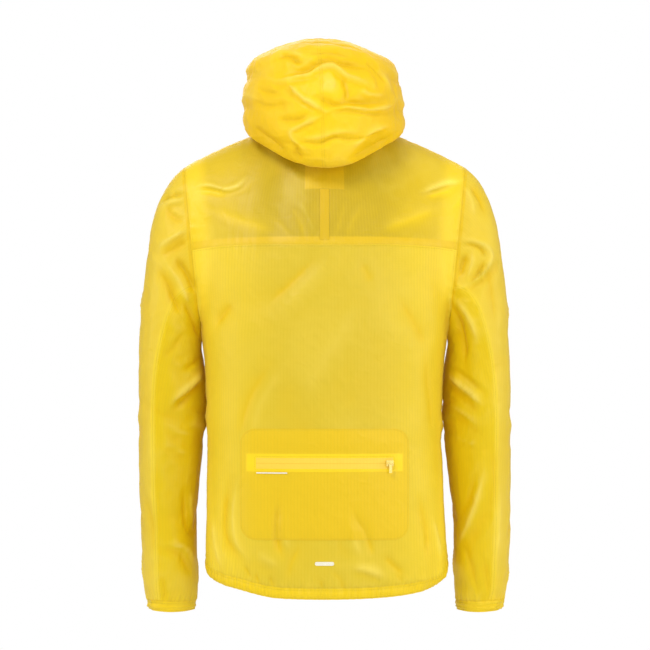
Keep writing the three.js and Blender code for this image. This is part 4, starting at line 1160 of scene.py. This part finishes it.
def lay(name, x, z, lift, cell=3, radius=0, window=None, crown=0, thickness=CLOTH_THICKNESS,
        material_slot="cloth", inside=False):
    """Lays a cut on the skin, lift mm above it and crown mm more away from its edges."""
    bm = flat_grid(x, z, cell)
    if radius:
        round_corners(bm, x, z, radius)
    if window:
        cut_window(bm, *window)
    weave, low_left, high_right = (bm.loops.layers.uv.new(layer)
                                   for layer in ("weave", "low_left", "high_right"))
    edges = {vert: edge_distance(vert.co, x, z, radius, window) for vert in bm.verts}
    for face in bm.faces:
        for loop in face.loops:
            distance = edges[loop.vert]
            loop[weave].uv = (-loop.vert.co.x, loop.vert.co.z)
            loop[low_left].uv = loop[high_right].uv = (distance, distance)
    for vert, distance in edges.items():
        spot, normal, _, _ = skin_tree.ray_cast(Vector((vert.co.x, 1, vert.co.z)), (0, -1, 0))
        rise = lift * MM + crown * MM * (1 - math.exp(-distance / (14 * MM)))
        vert.co = spot + normal * (-rise if inside else rise)
    bmesh.ops.recalc_face_normals(bm, faces=bm.faces)
    if sum(face.normal.y for face in bm.faces) < 0:
        bmesh.ops.reverse_faces(bm, faces=bm.faces)
    mesh = bpy.data.meshes.new(name + "_cloth")
    bm.to_mesh(mesh)
    bm.free()
    keep_edges_sharp(mesh)
    piece = bpy.data.objects.new(name + "_cloth", mesh)
    bpy.context.scene.collection.objects.link(piece)
    thicken(piece, thickness)
    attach(piece, "jacket")
    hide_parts(name)
    print(name, len(mesh.polygons), "cells")
    return piece


# %% [markdown]
# ## The pocket on the back
#
# A wide patch pocket with rounded corners lies on the lower back. Its zip sits in a window near
# the top, behind a narrow folded frame, with the coil to the inside, so only two smooth bands of
# tape show. A thin reflective line lies under the zip.

# %% Pocket, zip tapes and bars
POCKET = {"x": (-132, 132), "z": (-648, -474), "radius": 24,
          "window": ((-107, 107), (-536.5, -519.5))}
ZIP_Z = -528
ZIP_X = (-107, 107)

laid = {
    "pocket_patch": lay("pocket_patch", **POCKET, lift=0.7, crown=1.3),
    "pocket_zip_tape_upper": lay("pocket_zip_tape_upper", ZIP_X, (ZIP_Z, -519.5), 0.9,
                                 thickness=0.5 * MM, material_slot="zip_tape"),
    "pocket_zip_tape_lower": lay("pocket_zip_tape_lower", ZIP_X, (-536.5, ZIP_Z), 0.9,
                                 thickness=0.5 * MM, material_slot="zip_tape"),
    "reflective_bar_pocket": lay("reflective_bar_pocket", (58, 106), (-544, -542), 2.6, cell=1,
                                 thickness=0.2 * MM, material_slot="reflective"),
    "reflective_bar_hem": lay("reflective_bar_hem", (-15, 15), (-688, -682), 0.6, cell=1,
                              radius=2.9, thickness=0.2 * MM, material_slot="reflective"),
    "yoke_strip": lay("yoke_strip", (-7, 7), (-178, -99), 0.6, cell=2),
    "neck_patch": lay("neck_patch", (-34, 34), (-97, -66), 1.2, cell=2, inside=True,
                      material_slot="yoke_cloth"),
}

# %% [markdown]
# ## The front zip's teeth
#
# The front zip is a moulded one, whose teeth show all the way from the slider down to the hem.
# They are many and very small, so each is a plain block. It stands square on the tape below it.

# %% A row of teeth
TOOTH = {"pitch": 2.6, "across": 4.2, "deep": 1.3, "tall": 1.5}
zip_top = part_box("front_zip_slider")[0].z / MM - 1
zip_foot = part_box("front_zip_tape_left")[0].z / MM + 3

bm = bmesh.new()
for number, height in enumerate(np.arange(zip_foot, zip_top, TOOTH["pitch"])):
    spot, normal, _, _ = skin_tree.ray_cast(Vector((0, -1, height * MM)), (0, 1, 0))
    turn = (-normal).to_track_quat("Y", "Z").to_matrix().to_4x4()
    shift = 0.5 if number % 2 else -0.5
    size = Matrix.Diagonal((TOOTH["across"] * MM, TOOTH["deep"] * MM, TOOTH["tall"] * MM, 1))
    place = Matrix.Translation(spot + normal * 0.4 * MM + Vector((shift * MM, 0, 0)))
    bmesh.ops.create_cube(bm, size=1, matrix=place @ turn @ size)
bmesh.ops.recalc_face_normals(bm, faces=bm.faces)
teeth_mesh = bpy.data.meshes.new("front_zip_teeth")
bm.to_mesh(teeth_mesh)
bm.free()
front_teeth = bpy.data.objects.new("front_zip_teeth", teeth_mesh)
bpy.context.scene.collection.objects.link(front_teeth)
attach(front_teeth, "jacket")
print("front zip:", len(teeth_mesh.polygons) // 6, "teeth")

# %% [markdown]
# ## Sums in a material
#
# A finish is worked out from lengths on the cloth: how far a stitch line is from an edge, or
# where the next thick thread runs. So that this reads as a sum, one small class stands for a
# value in a material and adds a Math node for each sign. All other nodes come from one method.

# %% A value on its way through a material
class Wire:
    def __init__(self, tree, socket=None):
        self.tree, self.socket = tree, socket

    def node(self, kind, settings=None, inputs=None, output=0):
        made = self.tree.nodes.new("ShaderNode" + kind)
        for setting, value in (settings or {}).items():
            setattr(made, setting, value)
        for place, value in (inputs or {}).items():
            if isinstance(value, Wire):
                self.tree.links.new(value.socket, made.inputs[place])
            else:
                made.inputs[place].default_value = value
        return Wire(self.tree, made.outputs[output] if len(made.outputs) else None)

    def math(self, operation, *values):
        return self.node("Math", {"operation": operation}, dict(enumerate(values)))

    def __add__(self, other):
        return self.math("ADD", self, other)

    def __sub__(self, other):
        return self.math("SUBTRACT", self, other)

    def __rsub__(self, other):
        return self.math("SUBTRACT", other, self)

    def __mul__(self, other):
        return self.math("MULTIPLY", self, other)

    __radd__, __rmul__ = __add__, __mul__

    def most(self, other):
        return self.math("MAXIMUM", self, other)

    def least(self, other):
        return self.math("MINIMUM", self, other)

    def size(self):
        return self.math("ABSOLUTE", self)

    def rise(self, low, high):
        """0 below low, 1 above high and smooth between them."""
        return self.node("MapRange", {"interpolation_type": "SMOOTHSTEP"},
                         {"Value": self, "From Min": low, "From Max": high})

    def line_every(self, spacing, width):
        """1 on thin lines that repeat along this length."""
        away = self.math("PINGPONG", self, spacing / 2)
        return 1 - away.rise(width * 0.4, width * 0.8)


def colour(red, green, blue):
    """A colour as a picture gives it, from 0 to 255, for a node."""
    shares = [value / 255 for value in (red, green, blue)]
    return (*[s / 12.92 if s < 0.04045 else ((s + 0.055) / 1.055) ** 2.4 for s in shares], 1)


def mixed(share, one, other):
    return share.node("Mix", {"data_type": "RGBA"}, {0: share, 6: one, 7: other}, output=2)


def start_finish(name):
    material = bpy.data.materials.get(name) or bpy.data.materials.new(name)
    material.use_nodes = True
    material.node_tree.nodes.clear()
    return material, Wire(material.node_tree)


# %% [markdown]
# ## Ripstop
#
# It shines a little, and lets about a third of the light through, so a Translucent shader is
# mixed in. Two layers, at the folded allowances, pass less light; this shade is painted into
# their colour as a deeper yellow. Crease troughs get painted shade and ridges a painted
# highlight, each panel is painted lighter toward its sides where the cloth turns away, and the
# yoke is painted darker for the dim inside behind it. The fine wrinkles are too small for the
# mesh, so they are bumps.

# %% The cloth's finish
YELLOW, OCHRE = colour(234, 198, 0), colour(212, 174, 0)
# The side tones, lighter and deeper yellow, are painted light toward each panel's sides, where the
# cloth turns away.
TONES = {  # middle, sides, allowances at the low and high edge, and at the side edges
    "back": (colour(226, 203, 56), colour(246, 220, 50), YELLOW, colour(251, 224, 54)),
    # The yoke's dark tones are painted shade: the dim inside of the jacket behind its thin cloth.
    "yoke": (colour(184, 155, 2), colour(204, 172, 12), OCHRE, colour(230, 197, 18)),
    "strip": (OCHRE, OCHRE, OCHRE, OCHRE),
    "top_sleeve": (colour(243, 219, 70), colour(248, 224, 60), YELLOW, colour(249, 224, 46)),
    "under_sleeve": (colour(238, 211, 16), colour(238, 211, 12), YELLOW, colour(242, 212, 16)),
    "front": (colour(238, 215, 48), colour(246, 222, 44), YELLOW, colour(249, 224, 42)),
    "hood": (colour(253, 217, 22), colour(255, 224, 28), YELLOW, YELLOW),
    "binding": (colour(240, 208, 20), colour(240, 208, 20), YELLOW, YELLOW),
    "pocket": (colour(233, 197, 20), colour(240, 205, 26), colour(248, 214, 20), YELLOW),
    "zip_tape": (colour(240, 200, 66), colour(240, 200, 66), colour(218, 176, 22), YELLOW),
}
# Painted shade for crease troughs and painted highlight for crease ridges; the thread tone is the
# threads' own.
TROUGH_SHADE, RIDGE_HIGHLIGHT, THREAD_TONE = colour(238, 202, 0), colour(255, 237, 112), colour(206, 182, 14)
GLOW = colour(246, 231, 34)
THREAD = {"spacing": 5.2 * MM, "width": 1.5 * MM}
STITCH = {"inset": 2.0 * MM, "width": 0.5 * MM, "length": 3.4 * MM}
FINE_WRINKLES = {"scale": 55, "height": 0.8}


def uv_lengths(wires, name):
    both = wires.node("UVMap", {"uv_map": name})
    return (both.node("SeparateXYZ", None, {0: both}, 0),
            both.node("SeparateXYZ", None, {0: both}, 1))


def object_place(wires):
    return wires.node("TexCoord", None, None, 3)


def folded_band(edges, allowances, blur):
    """1 where a folded allowance makes the cloth double, 0 elsewhere."""
    band = edges[0] * 0
    for edge, allowance in zip(edges, allowances):
        if allowance:
            low, high = allowance * (1 - blur) * MM, allowance * (1 + blur) * MM
            band = band.most(1 - edge.rise(low, high))
    return band


def patches(wires, scale, low, high):
    """Soft patches, 0 to 1, some cm wide."""
    return wires.node("TexNoise", None, {"Vector": object_place(wires), "Scale": scale,
                                         "Detail": 2.0}).rise(low, high)


def stitch_row(across, up, nearest):
    row = 1 - (nearest - STITCH["inset"]).size().rise(STITCH["width"] * 0.4, STITCH["width"])
    along = (across + up).math("PINGPONG", across + up, STITCH["length"] / 2)
    return row * (1 - along.rise(1.2 * MM, 1.5 * MM))


def ripstop(name, finish, allowances, sides=(0.06, 0.2), stitched=True, detail=None):
    """Cloth whose allowances (mm, at the low, high, left and right edge) are double."""
    material, wires = start_finish(name)
    across, up = uv_lengths(wires, "weave")
    left, low = uv_lengths(wires, "low_left")
    right, high = uv_lengths(wires, "high_right")
    tones, wrinkles, thread_share, through_share = finish
    middle, side, double, double_side = TONES[tones]
    band = folded_band((low, high), allowances[:2], 0.12)
    side_band = folded_band((left, right), allowances[2:], 0.5)
    fold = wires.node("Attribute", {"attribute_name": "fold"}, None, 2)
    upright = across.line_every(THREAD["spacing"], THREAD["width"])
    level = up.line_every(THREAD["spacing"] / 2, THREAD["width"] / 2)
    threads = upright.most(level * patches(wires, 14.0, 0.46, 0.62))

    # Painted light: lighter, deeper yellow toward the panel's sides, where the cloth turns away.
    tone = mixed(across.size().rise(*sides), middle, side)
    tone = mixed(threads * thread_share, tone, THREAD_TONE)
    # The allowances are a real double layer; the shade from the light that it holds back is painted
    # as a deeper yellow.
    tone = mixed(side_band * 0.6, tone, double_side)
    tone = mixed(band * 0.75, tone, double)
    band = band.most(side_band)
    # A detail gets the double tone: the welt's folded frame, the join of the tapes, and the painted
    # shadow of the neck patch on the yoke.
    if detail:
        shape, share = detail(across, up)
        tone = mixed(shape * share, tone, double)
        band = band.most(shape)
    # Painted shade in the crease troughs and painted highlight on the ridges, read from the fold
    # attribute.
    tone = mixed((fold * -1).most(0) * 0.8, tone, TROUGH_SHADE)
    tone = mixed(fold.most(0) * 0.65, tone, RIDGE_HIGHLIGHT)
    crinkle = wires.node("TexNoise", {"noise_type": "RIDGED_MULTIFRACTAL", "normalize": True},
                         {"Vector": object_place(wires), "Scale": FINE_WRINKLES["scale"],
                          "Detail": 3.0, "Roughness": 0.45, "Distortion": 0.8})
    height = crinkle * (FINE_WRINKLES["height"] * wrinkles) + threads * 0.05 + band * 0.1
    if stitched:
        stitches = stitch_row(across, up, left.least(right).least(low.least(high)))
        tone = mixed(stitches * 0.6, tone, THREAD_TONE)
        height = height - stitches * 0.15
    normal = wires.node("Bump", None, {"Strength": 1.0, "Distance": MM, "Height": height})
    face = wires.node("BsdfPrincipled", None, {
        "Base Color": tone, "Roughness": 0.45, "Normal": normal, "IOR": 1.5,
        "Specular IOR Level": 0.35, "Sheen Weight": 0.08, "Sheen Roughness": 0.4})
    through = wires.node("BsdfTranslucent", None, {"Color": GLOW})
    both = wires.node("MixShader", None,
                      {0: through_share - band * 0.08, 1: face, 2: through})
    wires.node("OutputMaterial", None, {"Surface": both})
    return material


# %% Dressing the panels and the laid pieces
FINISH = {  # how a name starts: (tones, wrinkles, share of thread tone, light let through)
    "back_panel": ("back", 0.7, 0.24, 0.4), "back_yoke": ("yoke", 0.7, 0.18, 0.06),
    "front_zip": ("zip_tape", 0.2, 0.0, 0.15), "front": ("front", 0.8, 0.3, 0.42),
    "hem": ("binding", 1.0, 0.2, 0.3), "cuff": ("binding", 1.0, 0.2, 0.3),
    "sleeve_top": ("top_sleeve", 1.2, 0.16, 0.45),
    "sleeve_under": ("under_sleeve", 1.2, 0.16, 0.42), "hood": ("hood", 1.4, 0.08, 0.45),
    "pocket_patch": ("pocket", 0.7, 0.2, 0.25), "pocket_zip": ("zip_tape", 0.2, 0.0, 0.1),
    "yoke_strip": ("strip", 0.3, 0.2, 0.15), "neck_patch": ("strip", 0.3, 0.2, 0.15),
}


def finish_of(name):
    return next(finish for start, finish in FINISH.items() if name.startswith(start))


def wear(piece, material):
    piece.data.materials.clear()
    piece.data.materials.append(material)
    for face in piece.data.polygons:
        face.material_index = 0


def box_shape(middle, half, blur):
    """1 inside a box drawn on the cloth (across, up, in mm), 0 outside it."""
    def shape(across, up):
        over = [(length - place * MM).size() - reach * MM
                for length, place, reach in zip((across, up), middle, half)]
        return 1 - over[0].most(over[1]).rise(-blur * MM, blur * MM)
    return shape


def welt(across, up):
    return box_shape((0, -527), (122, 14), 0.8)(across, up), 0.85


# Painted shadow on the yoke of the neck patch that lies inside, behind it.
def neck_patch_shadow(across, up):
    return box_shape((0, 119.5), (33, 30), 1.2)(across, up), 0.6


def where_tapes_meet(across, up):
    return box_shape((0, -528), (107, 0.4), 0.5)(across, up), 0.8


DETAIL = {"pocket_patch": welt, "back_yoke": neck_patch_shadow,
          "pocket_zip_tape_upper": where_tapes_meet, "pocket_zip_tape_lower": where_tapes_meet}

for name, piece in panels.items():
    wear(piece, ripstop(name + "_cloth", finish_of(name), PANELS[name][2],
                        detail=DETAIL.get(name)))

# %% [markdown]
# ## Reflective film
#
# The two bars are heat-bonded silver film. Glass beads in it send light back, so it looks pale
# and even, with a faint grain.

# %% The film's finish
def film(name):
    material, wires = start_finish(name)
    beads = wires.node("TexNoise", None, {"Vector": object_place(wires), "Scale": 2600.0})
    face = wires.node("BsdfPrincipled", None, {
        "Base Color": mixed(beads.rise(0.35, 0.65), colour(222, 216, 190), colour(246, 242, 222)),
        "Roughness": beads * 0.2 + 0.3, "Metallic": 0.35})
    wires.node("OutputMaterial", None, {"Surface": face})
    return material


for name, piece in laid.items():
    if name.startswith("reflective"):
        wear(piece, film("reflective_film"))
    else:
        wear(piece, ripstop(name + "_cloth", finish_of(name), (0, 0, 0, 0),
                            stitched=name == "pocket_patch", detail=DETAIL.get(name)))

# %% [markdown]
# ## Zip hardware
#
# The sliders and their tabs are small cast pieces, painted to match. Their solids have the right
# shape already.

# %% Painted metal
def painted_metal(name):
    material, wires = start_finish(name)
    grain = wires.node("TexNoise", None, {"Vector": object_place(wires), "Scale": 900.0})
    tone = mixed(grain.rise(0.35, 0.65), colour(236, 214, 120), colour(224, 196, 84))
    normal = wires.node("Bump", None, {"Strength": 0.3, "Distance": 0.1 * MM, "Height": grain})
    face = wires.node("BsdfPrincipled", None, {
        "Base Color": tone, "Roughness": grain * 0.15 + 0.3, "Normal": normal,
        "Coat Weight": 0.5, "Coat Roughness": 0.15})
    wires.node("OutputMaterial", None, {"Surface": face})
    return material


metal = painted_metal("painted_metal")
wear(front_teeth, metal)
for name in ("front_zip_slider", "front_zip_pull", "pocket_zip_slider", "pocket_zip_pull"):
    for place in frame["nodes"][name].material_slots:
        place.material = metal

# %% [markdown]
# ## Studio
#
# A pale floor far below, a white surround and large soft lamps, as for a catalogue picture. The
# surround is white in the picture too.

# %% Floor, lamps and surround
FLOOR_Z = -1.35

bm = bmesh.new()
bmesh.ops.create_grid(bm, x_segments=8, y_segments=8, size=1.5)
for vert in bm.verts:
    vert.co.z = FLOOR_Z
floor_mesh = bpy.data.meshes.new("floor")
bm.to_mesh(floor_mesh)
bm.free()
floor = bpy.data.objects.new("floor", floor_mesh)
bpy.context.scene.collection.objects.link(floor)
floor_finish, wires = start_finish("floor")
speckle = wires.node("TexNoise", None, {"Vector": object_place(wires), "Scale": 6.0})
face = wires.node("BsdfPrincipled", None, {
    "Base Color": mixed(speckle, colour(238, 238, 236), colour(230, 230, 228)), "Roughness": 0.8})
wires.node("OutputMaterial", None, {"Surface": face})
floor.data.materials.append(floor_finish)

LAMPS = {
    "key": ((1.3, 2.4, 1.8), 54, 1.0),
    "back_fill": ((-1.6, 2.8, 0.2), 31, 1.6),
    "front": ((0.3, -2.6, 1.2), 42, 2.0),
    "top": ((-0.3, 0.4, 2.4), 10, 1.0),
    "left_side": ((2.8, 0.9, 0.0), 20, 1.4),
    "right_side": ((-2.8, 0.9, 0.0), 26, 1.4),
}
AIM = Vector((0, 0, -0.3))
for name, (place, power, size) in LAMPS.items():
    lamp_data = bpy.data.lights.new(name, "AREA")
    lamp_data.energy = power
    lamp_data.size = size
    lamp = bpy.data.objects.new(name, lamp_data)
    lamp.location = place
    lamp.rotation_euler = (AIM - Vector(place)).to_track_quat("-Z", "Y").to_euler()
    bpy.context.scene.collection.objects.link(lamp)

SURROUND_LIGHT = 0.6
world = bpy.data.worlds.new("surround")
world.use_nodes = True
background = world.node_tree.nodes["Background"]
background.inputs["Color"].default_value = (1, 1, 1, 1)
seen = Wire(world.node_tree).node("LightPath")
world.node_tree.links.new((seen * (1 - SURROUND_LIGHT) + SURROUND_LIGHT).socket,
                          background.inputs["Strength"])
bpy.context.scene.world = world
bpy.context.scene.view_settings.view_transform = "Standard"
print(len(LAMPS), "lamps")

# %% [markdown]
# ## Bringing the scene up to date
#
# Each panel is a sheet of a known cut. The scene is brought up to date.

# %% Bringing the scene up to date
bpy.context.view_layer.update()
